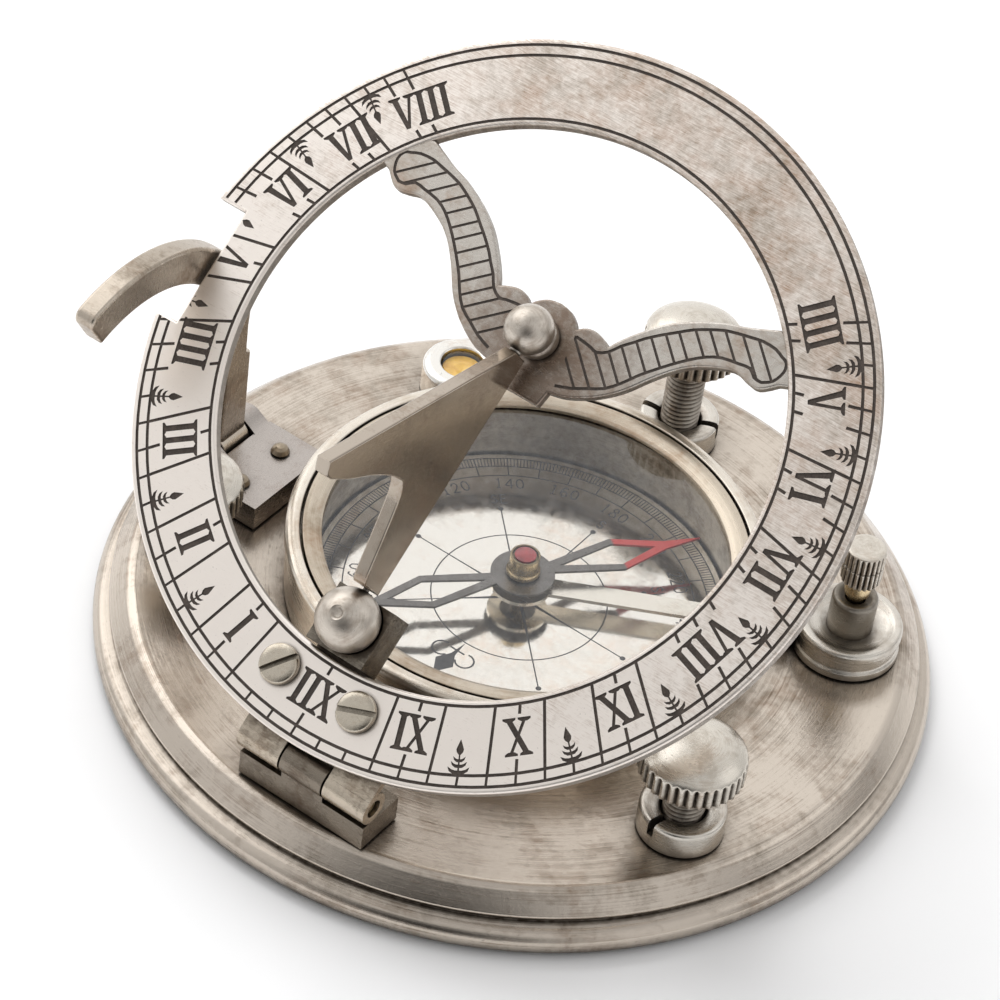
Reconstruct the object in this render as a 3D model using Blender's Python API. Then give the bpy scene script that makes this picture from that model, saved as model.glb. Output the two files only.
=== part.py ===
"""Folding sundial compass.

A tilting hour ring with a folding gnomon stands over a magnetic compass on a round base with three
levelling screws, a spirit level and a hooked latitude arc. The origin is the centre of the base's
underside, +Z is up, and the hour ring's hinge is on the -Y side with its axis along X.
"""

import math

import bmesh
import bpy
from mathutils import Vector

MM = 0.001  # sizes below are in millimetres, meshes are in metres
GAP = 0.3  # clearance between neighbouring pieces

# Finishes: base colour, roughness, metallic
SILVER = ((0.60, 0.56, 0.51), 0.38, 1.0)
DARK_SILVER = ((0.36, 0.33, 0.30), 0.45, 1.0)
BRASS = ((0.72, 0.53, 0.27), 0.30, 1.0)
STEEL = ((0.10, 0.10, 0.11), 0.40, 0.9)
CARD = ((0.80, 0.78, 0.73), 0.35, 0.3)
GLASS = ((0.92, 0.95, 0.95), 0.05, 0.0)
AMBER = ((0.75, 0.45, 0.08), 0.10, 0.0)
RUBY = ((0.55, 0.03, 0.06), 0.15, 0.0)

# Base
PLATE_TOP = 8.9
PLATE_UNDER = 6.9
RIM_INNER = 56.4
BEAD_CENTRE = (57.9, 2.2)
BEAD_RADIUS = 2.1

# Compass
BOWL_SPIGOT = 31.7
BOWL_WALL = 33.6
BOWL_BORE = 30.2
BOWL_FLOOR = 7.2
BOWL_TOP = 16.6
CARD_RADIUS = 29.8
CARD_THICK = 0.6
GLASS_RADIUS = 31.2
GLASS_THICK = 1.0
BEZEL_RADIUS = 34.0
BEZEL_INNER = 31.9
BEZEL_TOP = 19.4
WINDOW_RADIUS = 28.8
PIVOT_RADIUS = 1.0
PIVOT_TIP = 14.7
NEEDLE_LENGTH = 27.5
NEEDLE_BEARING = 58.0
NEEDLE_LOW = 12.5
NEEDLE_THICK = 0.4
CAP_TOP = 16.4

# Needle arrest
ARREST_BEARING = 30.0
ARREST_REACH = 46.5
LEVER_LOW = 10.4
LEVER_THICK = 0.6
LEVER_WIDTH = 3.2
LEVER_SLOT = 3.8
FULCRUM_REACH = 32.0
FLANGE_RADIUS = 7.6
FLANGE_TOP = 13.6
BUSH_RADIUS = 3.3
BUSH_TOP = 18.9
KNOB_RADIUS = 2.9
KNOB_LOW = 22.0
KNOB_TOP = 28.0
SPINDLE_RADIUS = 1.2

# Levelling screws: reach and bearing from the centre, the height of the head's underside, and the
# direction of the collar's slot
LEVELLING = {
    "front": (47.5, -26.6, 19.8, 78.0),
    "rear": (43.0, 93.5, 25.5, 16.0),
    "left": (47.5, 211.8, 18.4, 50.0),
}
COLLAR_RADIUS = 6.0
COLLAR_TOP = 13.4
COLLAR_SPIGOT = 4.3
ROD_RADIUS = 2.9
ROD_LENGTH = 17.4
ROD_TENON = (1.8, 3.0)
HEAD_RADIUS = 7.3
HEAD_FLUTES = 30
HEAD_BORE = 2.1

# Spirit level
LEVEL_BEARING = 138.5
LEVEL_REACH = 43.6
LEVEL_RADIUS = 6.0
LEVEL_TOP = 14.2
LEVEL_WELL = 3.3

# Hour ring, in its own plane: x across, y up the slope from the hinge side, top face at z = 0
TILT = 39.1
HINGE_Y = -52.0
HINGE_Z = 16.0
RING_REACH = 53.1
RING_RISE = 4.7
RING_OUTER = 51.6
RING_INNER = 39.3
RING_THICK = 2.0
NOTCH_X = -46.8
NOTCH_Y = (-11.6, 6.0)
ARM_THICK = 1.6
ARM_DROP = 0.2
RING_SCREW_X = 6.45
RING_SCREW_Y = -43.6
RING_SCREW_RADIUS = 2.8

# Hinge, centred a little to the morning side of XII
HINGE_X = 3.0
KNUCKLE_RADIUS = 2.4
KNUCKLE_LENGTH = 7.2
PIN_RADIUS = 1.0
LEAF = (1.2, 2.4)
BLOCK_TOP = 13.2
BLOCK_SCREW_Y = -49.0

# Gnomon, in the ring's plane frame
GNOMON_AXIS = 4.1
GNOMON_THICK = 2.0
GNOMON_ENDS = (-29.3, 7.0)
POST_Y = 10.7
POST_BALL = 3.4
POST_FOOT = 3.0
LUG_Y = -34.0
LUG_BALL = 4.4
LUG_HALF = 4.6
LUG_TOP = 2.3

# Latitude arc: a hooked bar in the plane x = ARC_X
ARC_X = -48.95
ARC_THICK = 3.3
ARC_CENTRE = (-29.2, 33.0)
ARC_OUTER = 25.0
ARC_INNER = 19.4
ARC_SWEEP = 116.0
ARC_PIVOT_Z = 12.2
ARC_KNUCKLE = 2.6
BRACKET_X = (-45.9, -35.6)
BRACKET_Y = (-16.2, -0.2)
BRACKET_TOP = 13.2
RIVETS = {"front": -13.4, "rear": -4.4}
RIVET_X = -40.6


def clear_scene():
    for obj in list(bpy.data.objects):
        bpy.data.objects.remove(obj, do_unlink=True)


def polar(radius, degrees):
    angle = math.radians(degrees)
    return radius * math.cos(angle), radius * math.sin(angle)


def arc(centre, radius, start, end, steps):
    """Points along a circular arc, both ends included."""
    return [
        (centre[0] + x, centre[1] + y)
        for x, y in (polar(radius, start + (end - start) * k / steps) for k in range(steps + 1))
    ]


def smooth_line(points, steps):
    """A Catmull-Rom curve through the points."""
    ends = [points[0]] + list(points) + [points[-1]]
    line = []
    for k in range(len(points) - 1):
        a, b, c, d = (Vector(p) for p in ends[k : k + 4])
        for s in range(steps):
            t = s / steps
            line.append(
                0.5 * (2 * b + (c - a) * t + (2 * a - 5 * b + 4 * c - d) * t**2
                       + (3 * b - a - 3 * c + d) * t**3)
            )
    line.append(Vector(points[-1]))
    return [(p.x, p.y) for p in line]


def turned(profile, steps=64):
    """A closed (radius, height) profile spun about Z. Radius 0 is a pole, and a third value is the
    depth of the flutes cut there, one flute to every two steps."""
    bm = bmesh.new()
    rings = []
    for radius, height, *flute in profile:
        if radius < 1e-6:
            rings.append([bm.verts.new((0, 0, height * MM))] * steps)
            continue
        depth = flute[0] if flute else 0.0
        ring = []
        for k in range(steps):
            x, y = polar(radius - depth * (k % 2), 360 * k / steps)
            ring.append(bm.verts.new((x * MM, y * MM, height * MM)))
        rings.append(ring)
    for lower, upper in zip(rings, rings[1:] + rings[:1]):
        for k in range(steps):
            n = (k + 1) % steps
            corners = list(dict.fromkeys([lower[k], lower[n], upper[n], upper[k]]))
            if len(corners) > 2:
                bm.faces.new(corners)
    bmesh.ops.recalc_face_normals(bm, faces=bm.faces)
    return bm


def prism(outline, low, high, plane="XY"):
    """An outline extruded from low to high, square to its plane: XY, YZ or XZ."""
    bm = bmesh.new()

    def vert(point, level):
        a, b = point
        place = {"XY": (a, b, level), "YZ": (level, a, b), "XZ": (a, level, b)}[plane]
        return bm.verts.new(Vector(place) * MM)

    bottom = [vert(p, low) for p in outline]
    top = [vert(p, high) for p in outline]
    bm.faces.new(bottom)
    bm.faces.new(top)
    for k in range(len(outline)):
        n = (k + 1) % len(outline)
        bm.faces.new([bottom[k], bottom[n], top[n], top[k]])
    bmesh.ops.recalc_face_normals(bm, faces=bm.faces)
    return bm


def box(x, y, z):
    return prism([(x[0], y[0]), (x[1], y[0]), (x[1], y[1]), (x[0], y[1])], z[0], z[1])


def rod(radius, start, end, steps=24):
    """A plain cylinder between two points."""
    bm = turned([(0, 0), (radius, 0), (radius, 1), (0, 1)], steps)
    start, end = Vector(start) * MM, Vector(end) * MM
    bmesh.ops.scale(bm, verts=bm.verts, vec=(1, 1, (end - start).length / MM))
    turn = Vector((0, 0, 1)).rotation_difference(end - start).to_matrix()
    bmesh.ops.rotate(bm, verts=bm.verts, cent=(0, 0, 0), matrix=turn)
    bmesh.ops.translate(bm, verts=bm.verts, vec=start)
    return bm


def ball(radius, centre, steps=24):
    bm = bmesh.new()
    bmesh.ops.create_uvsphere(bm, u_segments=steps, v_segments=steps // 2, radius=radius * MM)
    bmesh.ops.translate(bm, verts=bm.verts, vec=Vector(centre) * MM)
    return bm


def finish_material(name, finish):
    colour, roughness, metallic = finish
    material = bpy.data.materials.new(name)
    material.use_nodes = True
    shader = material.node_tree.nodes["Principled BSDF"]
    shader.inputs["Base Color"].default_value = (*colour, 1.0)
    shader.inputs["Roughness"].default_value = roughness
    shader.inputs["Metallic"].default_value = metallic
    return material


def put(name, bm, finish, at=(0, 0, 0), turn=0.0, parent=None):
    """Makes the named piece from a mesh, standing at a point, turned about Z by degrees."""
    mesh = bpy.data.meshes.new(name)
    bm.to_mesh(mesh)
    bm.free()
    mesh.shade_smooth()
    mesh.set_sharp_from_angle(angle=math.radians(35))
    mesh.materials.append(finish_material(name, finish))
    obj = bpy.data.objects.new(name, mesh)
    obj.location = Vector(at) * MM
    obj.rotation_euler.z = math.radians(turn)
    obj.parent = parent
    bpy.context.scene.collection.objects.link(obj)
    return obj


def empty(name, at, tilt=0.0, parent=None):
    obj = bpy.data.objects.new(name, None)
    obj.location = Vector(at) * MM
    obj.rotation_euler.x = math.radians(tilt)
    obj.parent = parent
    bpy.context.scene.collection.objects.link(obj)
    return obj


def combine(piece, operation, *meshes, at=None, turn=None):
    """Adds (UNION) or cuts away (DIFFERENCE) meshes given in the piece's own frame, or standing at
    another point and turned about Z."""
    for bm in meshes:
        mesh = bpy.data.meshes.new(piece.name + "_tool")
        bm.to_mesh(mesh)
        bm.free()
        tool = bpy.data.objects.new(piece.name + "_tool", mesh)
        tool.location = piece.location if at is None else Vector(at) * MM
        tool.rotation_euler.z = piece.rotation_euler.z if turn is None else math.radians(turn)
        tool.parent = piece.parent
        tool.hide_render = True
        tool.display_type = "WIRE"
        bpy.context.scene.collection.objects.link(tool)
        modifier = piece.modifiers.new("shape", "BOOLEAN")
        modifier.operation = operation
        modifier.object = tool


def round_hole(radius, low, high, x=0.0, y=0.0):
    return rod(radius, (x, y, low), (x, y, high), 24)


# ---------------------------------------------------------------- base and compass


def base_plate():
    bead = arc(BEAD_CENTRE, BEAD_RADIUS, 80, -80, 4)
    profile = [(BOWL_SPIGOT + GAP, PLATE_TOP), (54.8, PLATE_TOP), (55.4, 8.5),
               (56.8, 7.1), (57.9, 5.8), (57.2, 4.9), *bead,
               (58.5, 0), (RIM_INNER, 0), (55.6, 1.0), (55.2, 6.0), (54.0, PLATE_UNDER),
               (BOWL_SPIGOT + GAP, PLATE_UNDER)]
    plate = put("base_plate", turned(profile, 72), SILVER)
    through = (PLATE_UNDER - 1, PLATE_TOP + 1)
    for reach, bearing, *_ in LEVELLING.values():
        x, y = polar(reach, bearing)
        combine(plate, "DIFFERENCE", round_hole(COLLAR_SPIGOT + GAP, *through, x, y))
    x, y = polar(LEVEL_REACH, LEVEL_BEARING)
    combine(plate, "DIFFERENCE", round_hole(3.3, *through, x, y))
    for y in RIVETS.values():
        combine(plate, "DIFFERENCE", round_hole(1.1, *through, RIVET_X, y))
    for x in block_screw_places():
        combine(plate, "DIFFERENCE", round_hole(1.5, *through, x, BLOCK_SCREW_Y))


def compass():
    bowl = put("compass_bowl", turned([
        (0, BOWL_FLOOR), (BOWL_BORE, BOWL_FLOOR), (BOWL_BORE, BOWL_TOP), (BOWL_WALL, BOWL_TOP),
        (BOWL_WALL, PLATE_TOP + GAP), (BOWL_SPIGOT, PLATE_TOP + GAP), (BOWL_SPIGOT, 5.6),
        (31.2, 5.2), (0, 5.2)], 64), SILVER)
    slot = (-LEVER_SLOT / 2, LEVER_SLOT / 2)
    combine(bowl, "DIFFERENCE", box((28, 36), slot, (LEVER_LOW - 0.7, LEVER_LOW + 1.3)),
            turn=ARREST_BEARING)

    rest = BOWL_TOP + GAP
    put("compass_bezel", turned([
        (BEZEL_INNER, rest), (BEZEL_RADIUS, rest), (BEZEL_RADIUS, BEZEL_TOP - 1.2),
        (BEZEL_RADIUS - 0.35, BEZEL_TOP - 0.4), (BEZEL_RADIUS - 1.0, BEZEL_TOP),
        (BEZEL_INNER, BEZEL_TOP)], 64), SILVER)
    above = rest + GLASS_THICK + GAP
    put("glass_retaining_ring", turned([
        (WINDOW_RADIUS, above), (BEZEL_INNER - GAP, above), (BEZEL_INNER - GAP, BEZEL_TOP - 0.1),
        (BEZEL_INNER - 1.2, BEZEL_TOP - 0.1), (WINDOW_RADIUS, BEZEL_TOP - 0.7)], 64), SILVER)
    put("compass_glass", turned([
        (0, rest), (GLASS_RADIUS, rest), (GLASS_RADIUS, rest + GLASS_THICK),
        (0, rest + GLASS_THICK)], 64), GLASS)

    low = BOWL_FLOOR + GAP
    put("compass_card", turned([
        (PIVOT_RADIUS + GAP, low), (CARD_RADIUS, low), (CARD_RADIUS, low + CARD_THICK),
        (PIVOT_RADIUS + GAP, low + CARD_THICK)], 64), CARD)
    put("needle_pivot_pin", turned([
        (0, low), (PIVOT_RADIUS, low), (PIVOT_RADIUS, 12.0), (0.35, 13.6), (0, PIVOT_TIP)], 24), STEEL)


def needle():
    centre = empty("needle_axis", (0, 0, 0))
    half = [(4.0, 1.0), (14.5, 3.2), (22.0, 0.75), (NEEDLE_LENGTH, 0.0)]
    right = [(x, -y) for x, y in half] + half[-2::-1]
    left = [(-x, -y) for x, y in right]
    high = NEEDLE_LOW + NEEDLE_THICK
    body = put("compass_needle", prism(right + left, NEEDLE_LOW, high), STEEL,
               turn=NEEDLE_BEARING, parent=centre)
    combine(body, "UNION", round_hole(4.6, NEEDLE_LOW, high))
    window = [(5.5, 0), (14.5, -2.1), (20.5, 0), (14.5, 2.1)]
    for side in (1, -1):
        outline = [(side * x, side * y) for x, y in window]
        combine(body, "DIFFERENCE", prism(outline, NEEDLE_LOW - 1, high + 1))
    combine(body, "DIFFERENCE", round_hole(1.6, NEEDLE_LOW - 1, high + 1))

    low = high + GAP
    put("needle_cap", turned([
        (1.3, low), (2.45, low), (2.45, low + 0.5), (2.15, low + 0.9), (2.15, CAP_TOP),
        (1.85, CAP_TOP), (1.85, CAP_TOP - 0.6), (0, CAP_TOP - 0.6), (0, PIVOT_TIP + GAP),
        (1.3, PIVOT_TIP)], 32), BRASS, parent=centre)
    put("needle_jewel", turned([
        (0, CAP_TOP - 0.3), (1.55, CAP_TOP - 0.3), (1.55, CAP_TOP), (0, CAP_TOP + 0.2)], 24),
        RUBY, parent=centre)


# ---------------------------------------------------------------- needle arrest


def needle_arrest():
    slot = (-LEVER_SLOT / 2, LEVER_SLOT / 2)
    place = (*polar(ARREST_REACH, ARREST_BEARING), 0)
    stand = PLATE_TOP + GAP
    flange = put("arrest_flange", turned([
        (SPINDLE_RADIUS + GAP, stand), (FLANGE_RADIUS, stand), (FLANGE_RADIUS, FLANGE_TOP + 0.4),
        (FLANGE_RADIUS - 0.9, FLANGE_TOP + 0.4), (FLANGE_RADIUS - 1.2, FLANGE_TOP),
        (SPINDLE_RADIUS + GAP, FLANGE_TOP)], 40), SILVER, at=place, turn=ARREST_BEARING)
    combine(flange, "DIFFERENCE", box((-9, 2.2), slot, (stand - 1, LEVER_LOW + 1.3)))

    put("arrest_bush", turned([
        (SPINDLE_RADIUS + GAP, FLANGE_TOP + GAP), (BUSH_RADIUS, FLANGE_TOP + GAP),
        (BUSH_RADIUS, BUSH_TOP - 0.4), (BUSH_RADIUS - 0.4, BUSH_TOP),
        (SPINDLE_RADIUS + GAP, BUSH_TOP)], 32), DARK_SILVER, at=place)

    spindle = (SPINDLE_RADIUS, LEVER_LOW + LEVER_THICK + GAP)
    put("arrest_knob", turned([
        (0, spindle[1]), spindle, (SPINDLE_RADIUS, BUSH_TOP + GAP), (1.8, BUSH_TOP + GAP),
        (1.8, KNOB_LOW), (KNOB_RADIUS - 0.4, KNOB_LOW), (KNOB_RADIUS, KNOB_LOW + 0.4, 0.28),
        (KNOB_RADIUS, KNOB_TOP - 0.4, 0.28), (KNOB_RADIUS - 0.4, KNOB_TOP), (0, KNOB_TOP)], 40),
        SILVER, at=place)

    guide = put("lever_guide", box((BOWL_WALL + GAP, 38.6), (-3, 3), (stand, 12.4)), SILVER,
                turn=ARREST_BEARING)
    combine(guide, "DIFFERENCE", box((30, 42), slot, (stand - 1, LEVER_LOW + 1.3)))

    fulcrum = empty("arrest_fulcrum", (*polar(FULCRUM_REACH, ARREST_BEARING), LEVER_LOW))
    fulcrum.rotation_euler.z = math.radians(ARREST_BEARING)
    arm = (-LEVER_WIDTH / 2, LEVER_WIDTH / 2)
    lever = put("arrest_lever", box((3.4 - FULCRUM_REACH, 15.4), arm, (0, LEVER_THICK)), SILVER,
                parent=fulcrum)
    combine(lever, "UNION", round_hole(4.4, 0, LEVER_THICK, -FULCRUM_REACH))
    combine(lever, "DIFFERENCE", round_hole(2.6, -1, LEVER_THICK + 1, -FULCRUM_REACH))


# ---------------------------------------------------------------- levelling screws and level


def levelling_screw(name, reach, bearing, seat, slot):
    place = (*polar(reach, bearing), 0)
    collar = put(f"levelling_collar_{name}", turned([
        (ROD_RADIUS + GAP, 6.3), (COLLAR_SPIGOT, 6.3), (COLLAR_SPIGOT, PLATE_TOP + GAP),
        (COLLAR_RADIUS, PLATE_TOP + GAP), (COLLAR_RADIUS, COLLAR_TOP - 0.6),
        (COLLAR_RADIUS - 0.6, COLLAR_TOP), (ROD_RADIUS + GAP, COLLAR_TOP)], 32), SILVER, at=place)
    combine(collar, "DIFFERENCE", box((-8, 8), (-0.55, 0.55), (COLLAR_TOP - 2.4, COLLAR_TOP + 1)),
            turn=slot)

    travel = empty(f"levelling_axis_{name}", (*place[:2], seat))
    tenon, height = ROD_TENON
    put(f"levelling_screw_{name}", turned([
        (0, -ROD_LENGTH), (ROD_RADIUS - 0.8, -ROD_LENGTH), (ROD_RADIUS, 0.8 - ROD_LENGTH),
        (ROD_RADIUS, -GAP), (tenon, -GAP), (tenon, height), (0, height)], 32), SILVER, parent=travel)
    put(f"levelling_head_{name}", turned([
        (HEAD_BORE, 0), (HEAD_RADIUS - 0.4, 0), (HEAD_RADIUS, 0.4, 0.45),
        (HEAD_RADIUS, 3.2, 0.45), (HEAD_RADIUS - 0.5, 3.9), (5.4, 5.0), (3.2, 5.8), (0, 6.2),
        (0, height + GAP), (HEAD_BORE, height + GAP)], 2 * HEAD_FLUTES), SILVER, parent=travel)


def spirit_level():
    place = (*polar(LEVEL_REACH, LEVEL_BEARING), 0)
    floor = PLATE_TOP + 1.5
    put("level_housing", turned([
        (0, 7.2), (3.0, 7.2), (3.0, PLATE_TOP + GAP), (LEVEL_RADIUS, PLATE_TOP + GAP),
        (LEVEL_RADIUS, LEVEL_TOP - 0.5), (LEVEL_RADIUS - 0.5, LEVEL_TOP), (LEVEL_WELL, LEVEL_TOP),
        (LEVEL_WELL, floor), (0, floor)], 40), SILVER, at=place)
    core = LEVEL_WELL - GAP
    put("level_liquid", turned([
        (0, floor + GAP), (core, floor + GAP), (core, 12.8), (1.3, 12.8), (0, 12.4)], 32),
        AMBER, at=place)
    put("level_window", turned([
        (0, 13.1), (core, 13.1), (core, 13.7), (0, 13.7)], 32), GLASS, at=place)


# ---------------------------------------------------------------- ring hinge


def block_screw_places():
    return HINGE_X - 6.5, HINGE_X + 6.5


def knuckle_span(index):
    """The x range of the left (-1), middle (0) or right (1) knuckle."""
    centre = HINGE_X + index * KNUCKLE_LENGTH
    half = (KNUCKLE_LENGTH - GAP) / 2
    return centre - half, centre + half


def hinge_base():
    half = 1.5 * KNUCKLE_LENGTH - 0.4
    depth = (HINGE_Y - 1.6, HINGE_Y + 6.0)
    stand = PLATE_TOP + GAP
    block = put("hinge_block", box((HINGE_X - half, HINGE_X + half), depth, (stand, BLOCK_TOP)),
                SILVER)
    low, high = knuckle_span(0)
    web = box((low, high), (HINGE_Y - 1.6, HINGE_Y + 1.6), (BLOCK_TOP - 1, HINGE_Z))
    combine(block, "UNION", web,
            rod(KNUCKLE_RADIUS, (low, HINGE_Y, HINGE_Z), (high, HINGE_Y, HINGE_Z)))
    combine(block, "DIFFERENCE",
            rod(PIN_RADIUS + GAP, (low - 1, HINGE_Y, HINGE_Z), (high + 1, HINGE_Y, HINGE_Z)))
    for x in block_screw_places():
        combine(block, "DIFFERENCE", round_hole(1.5, stand - 1, stand + 3, x, BLOCK_SCREW_Y))

    put("hinge_pin", rod(PIN_RADIUS, (knuckle_span(-1)[0], HINGE_Y, HINGE_Z),
                         (knuckle_span(1)[1] - 0.6, HINGE_Y, HINGE_Z)), BRASS)
    for side, x in zip(("left", "right"), block_screw_places()):
        under = PLATE_UNDER - GAP
        put(f"hinge_block_screw_{side}", turned([
            (0, under - 1.2), (1.9, under - 1.2), (2.2, under), (1.2, under), (1.2, stand + 2.6),
            (0, stand + 2.6)], 24), BRASS, at=(x, BLOCK_SCREW_Y, 0))


def hinge_leaf(axis):
    """Two knuckles and a plate under the ring, with the gnomon's lower lug on its inner end."""
    first, last = knuckle_span(-1)[0], knuckle_span(1)[1]
    leaf = put("hinge_leaf", box((first, last), (KNUCKLE_RADIUS + 0.5, 13.0), LEAF), SILVER,
               parent=axis)
    for index in (-1, 1):
        low, high = knuckle_span(index)
        combine(leaf, "UNION", box((low, high), (0.4, 4.0), LEAF),
                rod(KNUCKLE_RADIUS, (low, 0, 0), (high, 0, 0)))
    inner = RING_REACH + GNOMON_ENDS[0] - 0.9
    start = RING_REACH - RING_INNER + 0.6
    combine(leaf, "UNION",
            box((-LUG_HALF, LUG_HALF), (12.0, inner), (LEAF[0] + 0.1, LEAF[1] - 0.1)),
            box((-LUG_HALF, LUG_HALF), (start, inner), (LEAF[0] + 0.1, RING_RISE + LUG_TOP)))
    combine(leaf, "DIFFERENCE", rod(PIN_RADIUS + GAP, (first - 1, 0, 0), (last + 1, 0, 0)))
    for x in (-RING_SCREW_X, RING_SCREW_X):
        combine(leaf, "DIFFERENCE", round_hole(1.6, 0, 4, x, RING_REACH + RING_SCREW_Y))
    seat = (0, RING_REACH + LUG_Y, RING_RISE + GNOMON_AXIS)
    combine(leaf, "DIFFERENCE", ball(LUG_BALL + GAP, seat),
            rod(1.3, seat, (0, inner + 1, seat[2])))


def ring_screws(plane):
    for side, x, slot in (("left", -RING_SCREW_X, 50), ("right", RING_SCREW_X, 20)):
        low = -RING_RISE + LEAF[0] + 0.2
        screw = put(f"ring_screw_{side}", turned([
            (0, low), (1.3, low), (1.3, 0.1), (RING_SCREW_RADIUS, 0.1),
            (RING_SCREW_RADIUS, 1.1), (RING_SCREW_RADIUS - 0.3, 1.4), (0, 1.4)], 32), BRASS,
            at=(x, RING_SCREW_Y, 0), parent=plane)
        combine(screw, "DIFFERENCE", box((-4, 4), (-0.4, 0.4), (0.6, 2)), turn=slot)


# ---------------------------------------------------------------- hour ring and gnomon


def arm_outline():
    """The two wavy arms and the lobed hub between them, mirrored about the noon line."""
    tab = [(4.8, 2.9)]
    lower = smooth_line([(5.1, 5.1), (7.3, 5.6), (9.8, 6.8), (12.0, 8.3), (14.2, 10.4), (16.4, 13.3),
                         (18.8, 16.0), (21.4, 17.9), (25.4, 19.5), (27.8, 19.1), (29.8, 19.0),
                         (31.9, 20.7)], 2)
    end = [(35.0, 22.0), (33.0, 25.0), (30.5, 27.5)]
    upper = smooth_line([(28.2, 27.2), (24.1, 25.5), (21.2, 24.6), (17.6, 22.9), (14.4, 20.8),
                         (11.8, 18.2), (10.0, 16.0), (9.0, 14.4)], 2)
    lobes = [(7.9, 14.9), (6.4, 15.3), (5.0, 15.1), (3.8, 14.3), (3.0, 15.2), (1.7, 16.0)]
    right = tab + lower + end + upper + lobes
    left = [(-x, y) for x, y in reversed(right)]
    return right + [(0.0, 16.3)] + left


def hour_ring(plane):
    ring = put("hour_ring", turned([
        (RING_INNER, -RING_THICK), (RING_OUTER, -RING_THICK), (RING_OUTER, -0.4),
        (RING_OUTER - 0.4, 0), (RING_INNER, 0)], 96), SILVER, parent=plane)
    combine(ring, "UNION", prism(arm_outline(), -ARM_DROP - ARM_THICK, -ARM_DROP))
    combine(ring, "DIFFERENCE", box((NOTCH_X - 8, NOTCH_X), NOTCH_Y, (-4, 2)))
    for x in (-RING_SCREW_X, RING_SCREW_X):
        combine(ring, "DIFFERENCE", round_hole(1.6, -4, 2, x, RING_SCREW_Y))
    combine(ring, "DIFFERENCE", round_hole(1.6, -4, 2, 0, POST_Y))


def gnomon_bearings(plane):
    centre = (0, POST_Y, GNOMON_AXIS)
    reach = GNOMON_ENDS[1] - 2.4
    foot = turned([(0, -2.2), (1.3, -2.2), (1.3, 0.1), (POST_FOOT, 0.1), (POST_FOOT, 1.3),
                   (POST_FOOT - 0.6, 2.4), (0, 2.4)], 32)
    post = put("gnomon_post", foot, SILVER, at=(0, POST_Y, 0), parent=plane)
    combine(post, "UNION", ball(POST_BALL, centre), rod(0.45, centre, (0, reach, GNOMON_AXIS), 16),
            at=(0, 0, 0))

    centre = (0, LUG_Y, GNOMON_AXIS)
    screw = put("gnomon_pivot_screw", ball(LUG_BALL, centre), SILVER, parent=plane)
    reach = GNOMON_ENDS[0] + 2.4
    combine(screw, "UNION", rod(1.0, centre, (0, GNOMON_ENDS[0] - 0.6, GNOMON_AXIS), 16),
            rod(0.45, centre, (0, reach, GNOMON_AXIS), 16))
    combine(screw, "DIFFERENCE", ball(0.8, (0, LUG_Y - LUG_BALL - 0.3, GNOMON_AXIS), 16))


def gnomon(plane):
    """A plate on the noon line that turns about the line between its two ball bearings."""
    axis = empty("gnomon_axis", (0, 0, GNOMON_AXIS), parent=plane)
    low, high = GNOMON_ENDS
    throat = smooth_line([(-20.9, 33.6), (-19.5, 29.0), (-17.3, 23.6), (-15.9, 18.6), (-15.5, 15.0)], 3)
    outline = [(low, 1.9), (high, 1.9), (high, 5.8), (-19.3, 36.9), (-20.9, 35.4), *throat,
               (-17.4, 13.0), (-22.6, 10.6), (-28.2, 8.3), (low, 7.4)]
    outline = [(y, z - GNOMON_AXIS) for y, z in outline]
    half = GNOMON_THICK / 2
    plate = put("gnomon", prism(outline, -half, half, "YZ"), SILVER, parent=axis)
    for end, inward in ((low, 1), (high, -1)):
        combine(plate, "DIFFERENCE", rod(0.7, (0, end - inward, 0), (0, end + 2.8 * inward, 0), 16))


# ---------------------------------------------------------------- latitude arc


def latitude_arc():
    pivot = empty("arc_axis", (ARC_X, 0, ARC_PIVOT_Z))
    outer = arc(ARC_CENTRE, ARC_OUTER, 12, ARC_SWEEP, 20)
    inner = arc(ARC_CENTRE, ARC_INNER, ARC_SWEEP, 0, 20)
    near, far = ARC_CENTRE[0] + ARC_INNER, ARC_CENTRE[0] + ARC_OUTER
    outline = [(near, ARC_PIVOT_Z), (far, ARC_PIVOT_Z), (far, 28.4), (far - 0.9, 29.0),
               (far - 0.9, 34.0), *outer, *inner]
    outline = [(y, z - ARC_PIVOT_Z) for y, z in outline]
    half = ARC_THICK / 2
    bar = put("latitude_arc", prism(outline, -half, half, "YZ"), SILVER, parent=pivot)
    combine(bar, "UNION", rod(ARC_KNUCKLE, (0, near, 0), (0, far, 0)))
    combine(bar, "DIFFERENCE", rod(1.2, (0, near - 1, 0), (0, far + 1, 0)))


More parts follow.
